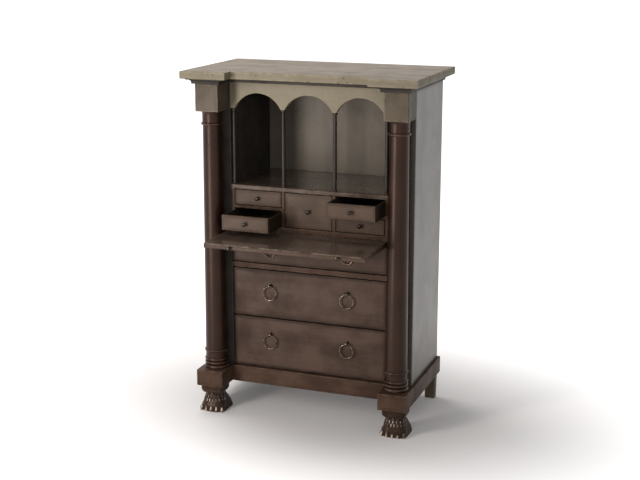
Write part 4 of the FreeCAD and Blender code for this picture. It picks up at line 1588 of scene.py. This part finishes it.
@dataclass
class Gallery:
    """Nest of cells for small drawers, shelf, arches and small columns."""

    partition: float = 0.101
    partition_thickness: float = 0.012
    side_thickness: float = 0.012
    rail_low: float = 0.0625
    rail_high: float = 0.0735
    floor_pitch: float = 0.03
    nose_round: float = 0.0048
    board_round: float = 0.0014
    arch_rise: float = 0.0585
    arch_points: int = 41
    arch_round: float = 0.0016
    arch_bands: Triple = (0.016, 0.006, 0.002)
    arch_top_wear: float = 0.3
    end_gap: float = 0.0105
    small_radius: float = 0.0075
    small_segments: int = 40
    cap_radius: float = 0.0100
    cap_height: float = 0.009
    cap_wear: float = 0.003
    waist_share: float = 0.86
    shaft_gap: float = 0.001
    shaft_points: int = 17

    def nest_boxes(self) -> list[Box]:
        """Boxes of sides, partitions and rails between the cells.

        Returns:
            Low and high corner of each board, right and left in turn.
        """
        low, high = corners("nest_boards")
        half = self.partition_thickness / 2
        inner = high[0] - self.side_thickness
        spans = [(inner, high[0], low[2], high[2]),
                 (self.partition - half, self.partition + half, low[2], high[2]),
                 (self.partition + half, inner, low[2] + self.rail_low, low[2] + self.rail_high)]
        boxes = []
        for x0, x1, z0, z1 in spans:
            boxes.append((np.array([x0, low[1], z0]), np.array([x1, high[1], z1])))
            boxes.append((np.array([-x1, low[1], z0]), np.array([-x0, high[1], z1])))
        return boxes

    def nest_floor(self) -> Surface:
        """The board under the cells, narrower in front where it passes between the stiles.

        Returns:
            The closed surface.
        """
        low, high = corners("nest_floor")
        step_y, narrow = corners("stiles")[1][1], corners("nest_boards")[1][0]
        right = np.array([[narrow, low[1]], [narrow, step_y], [high[0], step_y], [high[0], high[1]]])
        return moulded_board(both_halves(right), (low[2], high[2]), self.board_round, Grain.ACROSS,
                             self.floor_pitch)

    def arcade_edge(self) -> np.ndarray:
        """Lower edge of the arcade board, from left to right: three arcs between the small columns.

        Returns:
            Rows of place and level.
        """
        low, high = corners("arcade_board")
        ends = high[0] - self.end_gap
        feet = np.array([-ends, -self.partition, self.partition, ends])
        left, right = feet[:-1] + self.small_radius, feet[1:] - self.small_radius
        half = (right - left) / 2
        radius = (half ** 2 + self.arch_rise ** 2) / (2 * self.arch_rise)
        turn = np.linspace(-1.0, 1.0, self.arch_points)[None] * np.arcsin(half / radius)[:, None]
        x = ((left + right) / 2)[:, None] + radius[:, None] * np.sin(turn)
        z = low[2] + self.arch_rise - radius[:, None] * (1 - np.cos(turn))
        arches = np.stack([x, z], 2).reshape(-1, 2)
        return np.concatenate([[[low[0], low[2]]], arches, [[high[0], low[2]]]])

    def arcade(self) -> Surface:
        """Arcade board: a rounded upright section carried from left to right, whose foot follows the arches.

        Returns:
            The closed surface.
        """
        low, high = corners("arcade_board")
        radius = self.arch_round
        foot = self.arcade_edge()
        turn = np.linspace(0.0, QUARTER, EDGE_STEPS)
        bands = radius + np.array(self.arch_bands)
        depth = np.concatenate([np.zeros(len(bands)), radius * (1 - np.cos(turn))])
        rise = np.concatenate([bands, radius * (1 - np.sin(turn))])
        across = np.concatenate([low[1] + depth, high[1] - depth[::-1], [high[1], low[1]]])
        lift = np.concatenate([rise, rise[::-1]])
        level = np.concatenate([foot[:, 1:] + lift[None], np.full((len(foot), 2), high[2])], 1)
        along = np.broadcast_to(foot[:, :1], level.shape)
        edge = np.concatenate([edge_wear(lift, radius), np.full(2, self.arch_top_wear)])
        return lofted(np.stack([along, np.broadcast_to(across, level.shape), level], 2), edge, Grain.ACROSS)

    def small_columns(self) -> Surface:
        """Four small turned columns: a roll at each end and a shaft that swells as half a sine wave.

        Returns:
            All closed surfaces in one.
        """
        low, high = corners("colonnettes")
        waist = self.small_radius * self.waist_share
        shaft_low, shaft_high = low[2] + self.cap_height, high[2] - self.cap_height
        shaft = bead(waist, self.small_radius, shaft_low + self.shaft_gap, shaft_high - self.shaft_gap,
                     self.shaft_points)
        profile = np.concatenate([[[0.0, low[2]]], bead(waist, self.cap_radius, low[2], shaft_low), shaft,
                                  bead(waist, self.cap_radius, shaft_high, high[2]), [[0.0, high[2]]]])
        edge = np.clip((profile[:, 0] - self.small_radius) / self.cap_wear, 0.0, 1.0)
        column = turned_surface(profile, self.small_segments, edge)
        ends = high[0] - self.cap_radius
        places = (-ends, -self.partition, self.partition, ends)
        return joined([column.moved(x, (low[1] + high[1]) / 2, 0.0) for x in places])

    def build(self, shop: Workshop) -> None:
        """Builds the fixed pieces above the slide.

        Args:
            shop: where pieces are made.
        """
        shop.piece("nest_floor_board", self.nest_floor(), CASE_WOOD, "nest_floor")
        ways = [Grain.UPRIGHT] * 4 + [Grain.ACROSS] * 2
        shop.boards("cell_boards", self.nest_boxes(), self.board_round, ways, CASE_WOOD, "nest_boards")
        shop.boards("shelf_board", [corners("gallery_shelf")], self.nose_round, Grain.ACROSS, SLIDE_WOOD,
                    "gallery_shelf")
        # The gallery linings are dark with painted shade.
        shop.boards("lining_boards", pair_boxes("gallery_linings", self.side_thickness), self.board_round,
                    Grain.UPRIGHT, PAINTED_SHADE_WOOD, "gallery_linings")
        # The arcade board is pale, partly with painted light.
        shop.piece("arched_board", self.arcade(), PAINTED_LIGHT_FRIEZE_WOOD, "arcade_board")
        shop.piece("small_columns", self.small_columns(), SPINDLE_WOOD, "colonnettes")


@dataclass
class Knob:
    """Turned knob: a foot, a neck, and a mushroom head with a fine groove under its rim."""

    radius: float = 0.008
    length: float = 0.016
    stem_radius: float = 0.0038
    stem_fillet: float = 0.0006
    base_radius: float = 0.0055
    base_length: float = 0.0025
    base_round: float = 0.0004
    seat_inset: float = 0.0003
    base_inset: float = 0.0005
    head_length: float = 0.0085
    head_rise: float = 0.0012
    head_share: float = 0.72
    rim_share: float = 0.95
    groove_share: float = 0.92
    groove_width: float = 0.0006
    crown_steps: int = 9
    segments: int = 40

    def surface(self, x: float, y: float, z: float) -> Surface:
        """The knob on a front face.

        Args:
            x, y, z: where its axis meets the face.

        Returns:
            The closed surface.
        """
        base, foot = self.base_radius, self.base_length
        head = self.length - self.head_length
        rim = self.length - self.head_length / 2
        turn = np.linspace(0.0, QUARTER, self.crown_steps)
        crown = np.stack([self.radius * np.cos(turn), rim + (self.length - rim) * np.sin(turn)], 1)
        crown[-1, 0] = 0.0
        foot_rows = [[0.0, 0.0], [base - self.seat_inset, 0.0], [base, self.base_round],
                     [base, foot - self.base_round], [base - self.base_inset, foot]]
        head_rows = [[self.stem_radius, foot + self.stem_fillet], [self.stem_radius, head],
                     [self.radius * self.head_share, head + self.head_rise],
                     [self.radius * self.rim_share, rim - 2 * self.groove_width],
                     [self.radius * self.groove_share, rim - self.groove_width]]
        profile = np.concatenate([foot_rows, head_rows, crown])
        return to_front(turned_surface(profile, self.segments)).moved(x, y, z)


@dataclass
class WritingSlide:
    """Pull-out board with two knobs."""

    edge_round: float = 0.0025
    edge_worn: float = 0.002
    knob_spacing: float = 0.412
    knob_share: float = 0.94

    def build(self, shop: Workshop) -> None:
        """Builds the slide, worn along its upper edges.

        Args:
            shop: where pieces are made.
        """
        low, high = corners("writing_slide")
        middle_z = (low[2] + high[2]) / 2
        board = rounded_board((low, high), self.edge_round, Grain.ACROSS, self.edge_worn)
        board.edge *= board.points[:, 2] > middle_z
        shop.piece("slide_board", board, SLIDE_EDGE_WOOD, "writing_slide", "slide", SLIDE_WOOD)
        knob = Knob(radius=Knob.radius * self.knob_share)
        knobs = [knob.surface(side * self.knob_spacing / 2, low[1], middle_z) for _, side in SIDES]
        shop.piece("slide_knob_pair", joined(knobs), KNOB_BRONZE, "slide_knobs", "slide")


@dataclass
class Drawer:
    """Wooden parts of a drawer: a front with a little play round it, and a tray of four boards behind."""

    side: float
    back: float
    bottom: float
    rise: float
    front_round: float
    front_gap: float
    box_round: float
    finish: WoodFinish

    def tray_boxes(self, node: str) -> list[Box]:
        """Boxes of the tray: two sides, a back between them and a bottom.

        Args:
            node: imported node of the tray.

        Returns:
            Low and high corner of each board.
        """
        low, high = corners(node)
        x0, x1, floor = low[0] + self.side, high[0] - self.side, low[2] + self.rise
        inner = high[1] - self.back
        return pair_boxes(node, self.side) + [
            (np.array([x0, inner, floor]), np.array([x1, high[1], high[2]])),
            (np.array([x0, low[1], floor]), np.array([x1, inner, floor + self.bottom]))]

    def build(self, shop: Workshop, names: NamePair, nodes: NamePair, body: str) -> None:
        """Builds the front and the tray.

        Args:
            shop: where pieces are made.
            names: names of front and tray.
            nodes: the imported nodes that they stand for.
            body: the body that they ride on.
        """
        low, high = corners(nodes[0])
        play = np.array([self.front_gap, 0.0, self.front_gap])
        front = [(low + play, high - play)]
        ways = [Grain.DEEP, Grain.DEEP, Grain.ACROSS, Grain.ACROSS]
        shop.boards(names[0], front, self.front_round, Grain.ACROSS, self.finish, nodes[0], body)
        shop.boards(names[1], self.tray_boxes(nodes[1]), self.box_round, ways, SHADE_DARK_LINING_WOOD, nodes[1], body)


@dataclass
class SmallDrawers:
    """Five small drawers with knobs."""

    # The small fronts take the lighter wood with painted light.
    drawer: Drawer = field(default_factory=lambda: Drawer(
        side=0.007, back=0.007, bottom=0.004, rise=0.004, front_round=0.0016, front_gap=0.0012,
        box_round=0.0008, finish=SMALL_LIT_WOOD))
    knob: Knob = field(default_factory=Knob)

    def build(self, shop: Workshop) -> None:
        """Builds the drawers.

        Args:
            shop: where pieces are made.
        """
        for name in SMALL_DRAWERS:
            body, front = "small_drawer_" + name, "small_front_" + name
            names, nodes = ("small_face_" + name, "small_tray_" + name), (front, "small_box_" + name)
            self.drawer.build(shop, names, nodes, body)
            low, high = corners(front)
            knob = self.knob.surface((low[0] + high[0]) / 2, low[1], (low[2] + high[2]) / 2)
            shop.piece("small_pull_" + name, knob, KNOB_BRONZE, "small_knob_" + name, body)


@dataclass
class LongDrawers:
    """Three long drawers with ring pulls."""

    drawer: Drawer = field(default_factory=lambda: Drawer(
        side=0.012, back=0.010, bottom=0.006, rise=0.008, front_round=0.0020, front_gap=0.0014,
        box_round=0.0012, finish=FRONT_WOOD))
    wire: float = 0.0022
    wire_play: float = 0.0003
    ring_steps: int = 72
    wire_steps: int = 18

    def ring(self, node: str) -> Surface:
        """Ring of round wire: a small circle carried round a large one.

        Args:
            node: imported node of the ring.

        Returns:
            The closed surface.
        """
        low, high = corners(node)
        radius = (high[0] - low[0]) / 2 - self.wire - self.wire_play
        turn, lap = np.meshgrid(np.arange(self.ring_steps) * FULL_TURN / self.ring_steps,
                                np.arange(self.wire_steps) * FULL_TURN / self.wire_steps, indexing="ij")
        reach = radius + self.wire * np.cos(lap)
        points = np.stack([reach * np.cos(turn), self.wire * np.sin(lap), reach * np.sin(turn)], 2)
        points = points.reshape(-1, 3) + (low + high) / 2
        quads = grid_cells(self.ring_steps + 1, self.wire_steps, True) % len(points)
        return Surface(points, quads, grain_of(points, Grain.ACROSS), np.zeros(len(points))).outward()

    def build(self, shop: Workshop) -> None:
        """Builds the drawers.

        Args:
            shop: where pieces are made.
        """
        for name in LONG_DRAWERS:
            self.drawer.build(shop, ("long_face_" + name, "long_tray_" + name),
                              ("drawer_front_" + name, "drawer_box_" + name), "long_drawer_" + name)
            for hand, _ in SIDES:
                node = f"ring_{name}_{hand}"
                shop.piece(f"pull_ring_{name}_{hand}", self.ring(node), PULL_BRASS, node, node + "_pull")


@dataclass
class KeptSolids:
    """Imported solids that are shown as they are, with a finish."""

    woods: tuple[tuple[str, WoodFinish, Grain], ...] = (
        ("bottom_board", SHADE_DARK_LINING_WOOD, Grain.ACROSS), ("drawer_runners", SHADE_DARK_LINING_WOOD, Grain.DEEP),
        ("slide_bed", SHADE_DARK_LINING_WOOD, Grain.ACROSS), ("corner_blocks", SHADE_DARK_LINING_WOOD, Grain.UPRIGHT),
        ("sub_top", CASE_WOOD, Grain.ACROSS))

    def build(self, shop: Workshop, frame: dict) -> None:
        """Gives each solid its finish.

        Args:
            shop: where materials are kept.
            frame: the loaded frame.
        """
        for node, finish, grain in self.woods:
            shop.dress(frame["nodes"][node], shop.book.on_solid(finish, grain))
        for name in LONG_DRAWERS:
            shop.dress(frame["nodes"]["pull_posts_" + name], shop.book.of(PULL_BRASS))


@dataclass(frozen=True)
class SoftBox:
    """A rectangular lamp that faces a point, with its power in watts and its opening in degrees."""

    name: str
    place: Triple
    aim: Triple
    width: float
    height: float
    power: float
    colour: Colour = WHITE
    spread: float = 180.0

    def build(self) -> None:
        """Sets up the lamp and turns it to its aim."""
        data = bpy.data.lights.new(self.name, "AREA")
        data.shape = "RECTANGLE"
        data.size, data.size_y = self.width, self.height
        data.energy, data.color, data.spread = self.power, self.colour, math.radians(self.spread)
        lamp = bpy.data.objects.new(self.name, data)
        way = np.array(self.aim) - np.array(self.place)
        ahead = way / np.linalg.norm(way)
        lamp.location = self.place
        lamp.rotation_euler = (math.acos(-ahead[2]), 0.0, math.atan2(-ahead[0], ahead[1]))
        bpy.context.scene.collection.objects.link(lamp)


@dataclass
class Studio:
    """Camera, lamps, floor and surroundings."""

    eye: Triple = (1.5945, -4.1843, 1.7982)
    yaw: float = 0.3584
    pitch: float = -0.2285
    lens: float = 68.895
    sensor: float = 36.0
    shift: float = -0.03
    floor_size: float = 160.0
    floor_colour: Colour = (0.80, 0.765, 0.75)
    # Painted glow of the floor: least round this middle, rising to white between these distances.
    shade_pool_middle: Triple = (-0.0375, -0.10, 0.0)
    shade_pool_scale: Triple = (0.75, 1.0, 1.0)
    shade_pool_ends: Pair = (0.22, 1.38)
    least_glow: float = 0.06
    world_light: float = 0.28
    lamps: tuple[SoftBox, ...] = (
        SoftBox("key", (-0.95, -1.75, 1.05), (0.15, 0.0, 1.05), 0.36, 1.9, 14.5, (1.0, 0.98, 0.95), 110.0),
        SoftBox("top", (-0.9, 0.4, 3.2), (0.0, 0.0, 0.0), 1.7, 1.7, 50.0),
        SoftBox("fill", (1.2, -4.2, 2.0), (0.0, 0.0, 0.7), 2.0, 2.0, 24.0))

    def camera(self) -> None:
        """Sets the camera at the photograph's viewing angle."""
        data = bpy.data.cameras.new("camera")
        data.lens, data.sensor_width, data.shift_y = self.lens, self.sensor, self.shift
        camera = bpy.data.objects.new("camera", data)
        camera.location = self.eye
        camera.rotation_euler = (QUARTER + self.pitch, 0.0, self.yaw)
        bpy.context.scene.collection.objects.link(camera)
        bpy.context.scene.camera = camera

    @staticmethod
    def seen(sheet: Sheet) -> bpy.types.NodeSocket:
        """Adds a mask of the rays that see the surroundings directly, in gloss or through glass.

        Args:
            sheet: where the nodes go.

        Returns:
            One for such rays, zero for the rest.
        """
        path = sheet.add("ShaderNodeLightPath").outputs
        direct = sheet.maths("MAXIMUM", path["Is Camera Ray"], path["Is Glossy Ray"])
        return sheet.maths("MAXIMUM", direct, path["Is Transmission Ray"])

    def floor_material(self) -> bpy.types.Material:
        """The pale floor, with a painted glow for rays that see it: weakest round the desk, where it leaves a
        painted pool of shade, and rising to white away from it.

        Returns:
            The material.
        """
        material = bpy.data.materials.new("pale floor")
        material.use_nodes = True
        sheet = Sheet(material.node_tree)
        cloth = sheet.add("ShaderNodeBsdfDiffuse", {"Color": opaque(self.floor_colour)})
        place = sheet.add("ShaderNodeTexCoord").outputs["Object"]
        plan = sheet.add("ShaderNodeMapping", {"Vector": place, "Location": self.shade_pool_middle,
                                               "Scale": self.shade_pool_scale})
        away = sheet.add("ShaderNodeVectorMath", {0: plan.outputs[0]}, operation="LENGTH").outputs["Value"]
        # painted glow: a painted pool of shade round the desk, white farther off
        lift = sheet.span(away, self.shade_pool_ends, self.least_glow)
        strength = sheet.times(self.seen(sheet), lift)
        glow = sheet.add("ShaderNodeEmission", {"Color": opaque(WHITE), "Strength": strength})
        both = sheet.add("ShaderNodeAddShader", {0: cloth.outputs[0], 1: glow.outputs[0]})
        sheet.add("ShaderNodeOutputMaterial", {"Surface": both.outputs[0]})
        return material

    def floor(self) -> None:
        """Adds the floor, one large square."""
        half = self.floor_size / 2
        square = [(-half, -half, 0.0), (half, -half, 0.0), (half, half, 0.0), (-half, half, 0.0)]
        mesh = bpy.data.meshes.new("studio_floor")
        mesh.from_pydata(square, [], [(0, 1, 2, 3)])
        mesh.materials.append(self.floor_material())
        floor = bpy.data.objects.new("studio_floor", mesh)
        bpy.context.scene.collection.objects.link(floor)

    def surroundings(self) -> None:
        """Lights the scene evenly and shows white behind it."""
        world = bpy.data.worlds.new("studio")
        bpy.context.scene.world = world
        world.use_nodes = True
        sheet = Sheet(world.node_tree)
        soft = sheet.add("ShaderNodeBackground", {"Color": opaque(WHITE), "Strength": self.world_light})
        plain = sheet.add("ShaderNodeBackground", {"Color": opaque(WHITE), "Strength": 1.0})
        both = sheet.add("ShaderNodeMixShader", {0: self.seen(sheet), 1: soft.outputs[0],
                                                 2: plain.outputs[0]})
        sheet.add("ShaderNodeOutputWorld", {"Surface": both.outputs[0]})

    def build(self) -> None:
        """Builds the studio, camera first."""
        self.camera()
        self.floor()
        self.surroundings()
        for lamp in self.lamps:
            lamp.build()
        bpy.context.scene.view_settings.view_transform = "Standard"


def main() -> None:
    """Builds the studio and every piece of the desk."""
    logging.basicConfig(level=logging.INFO, format="%(message)s")
    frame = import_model()
    Studio().build()
    shop = Workshop(FinishBook())
    makers = (Case(), Cornice(), Columns(), PawFeet(), Gallery(), WritingSlide(), SmallDrawers(),
              LongDrawers())
    for maker in makers:
        maker.build(shop)
    KeptSolids().build(shop, frame)
    LOG.info("%d new pieces", shop.count)


if __name__ == "__main__":
    main()
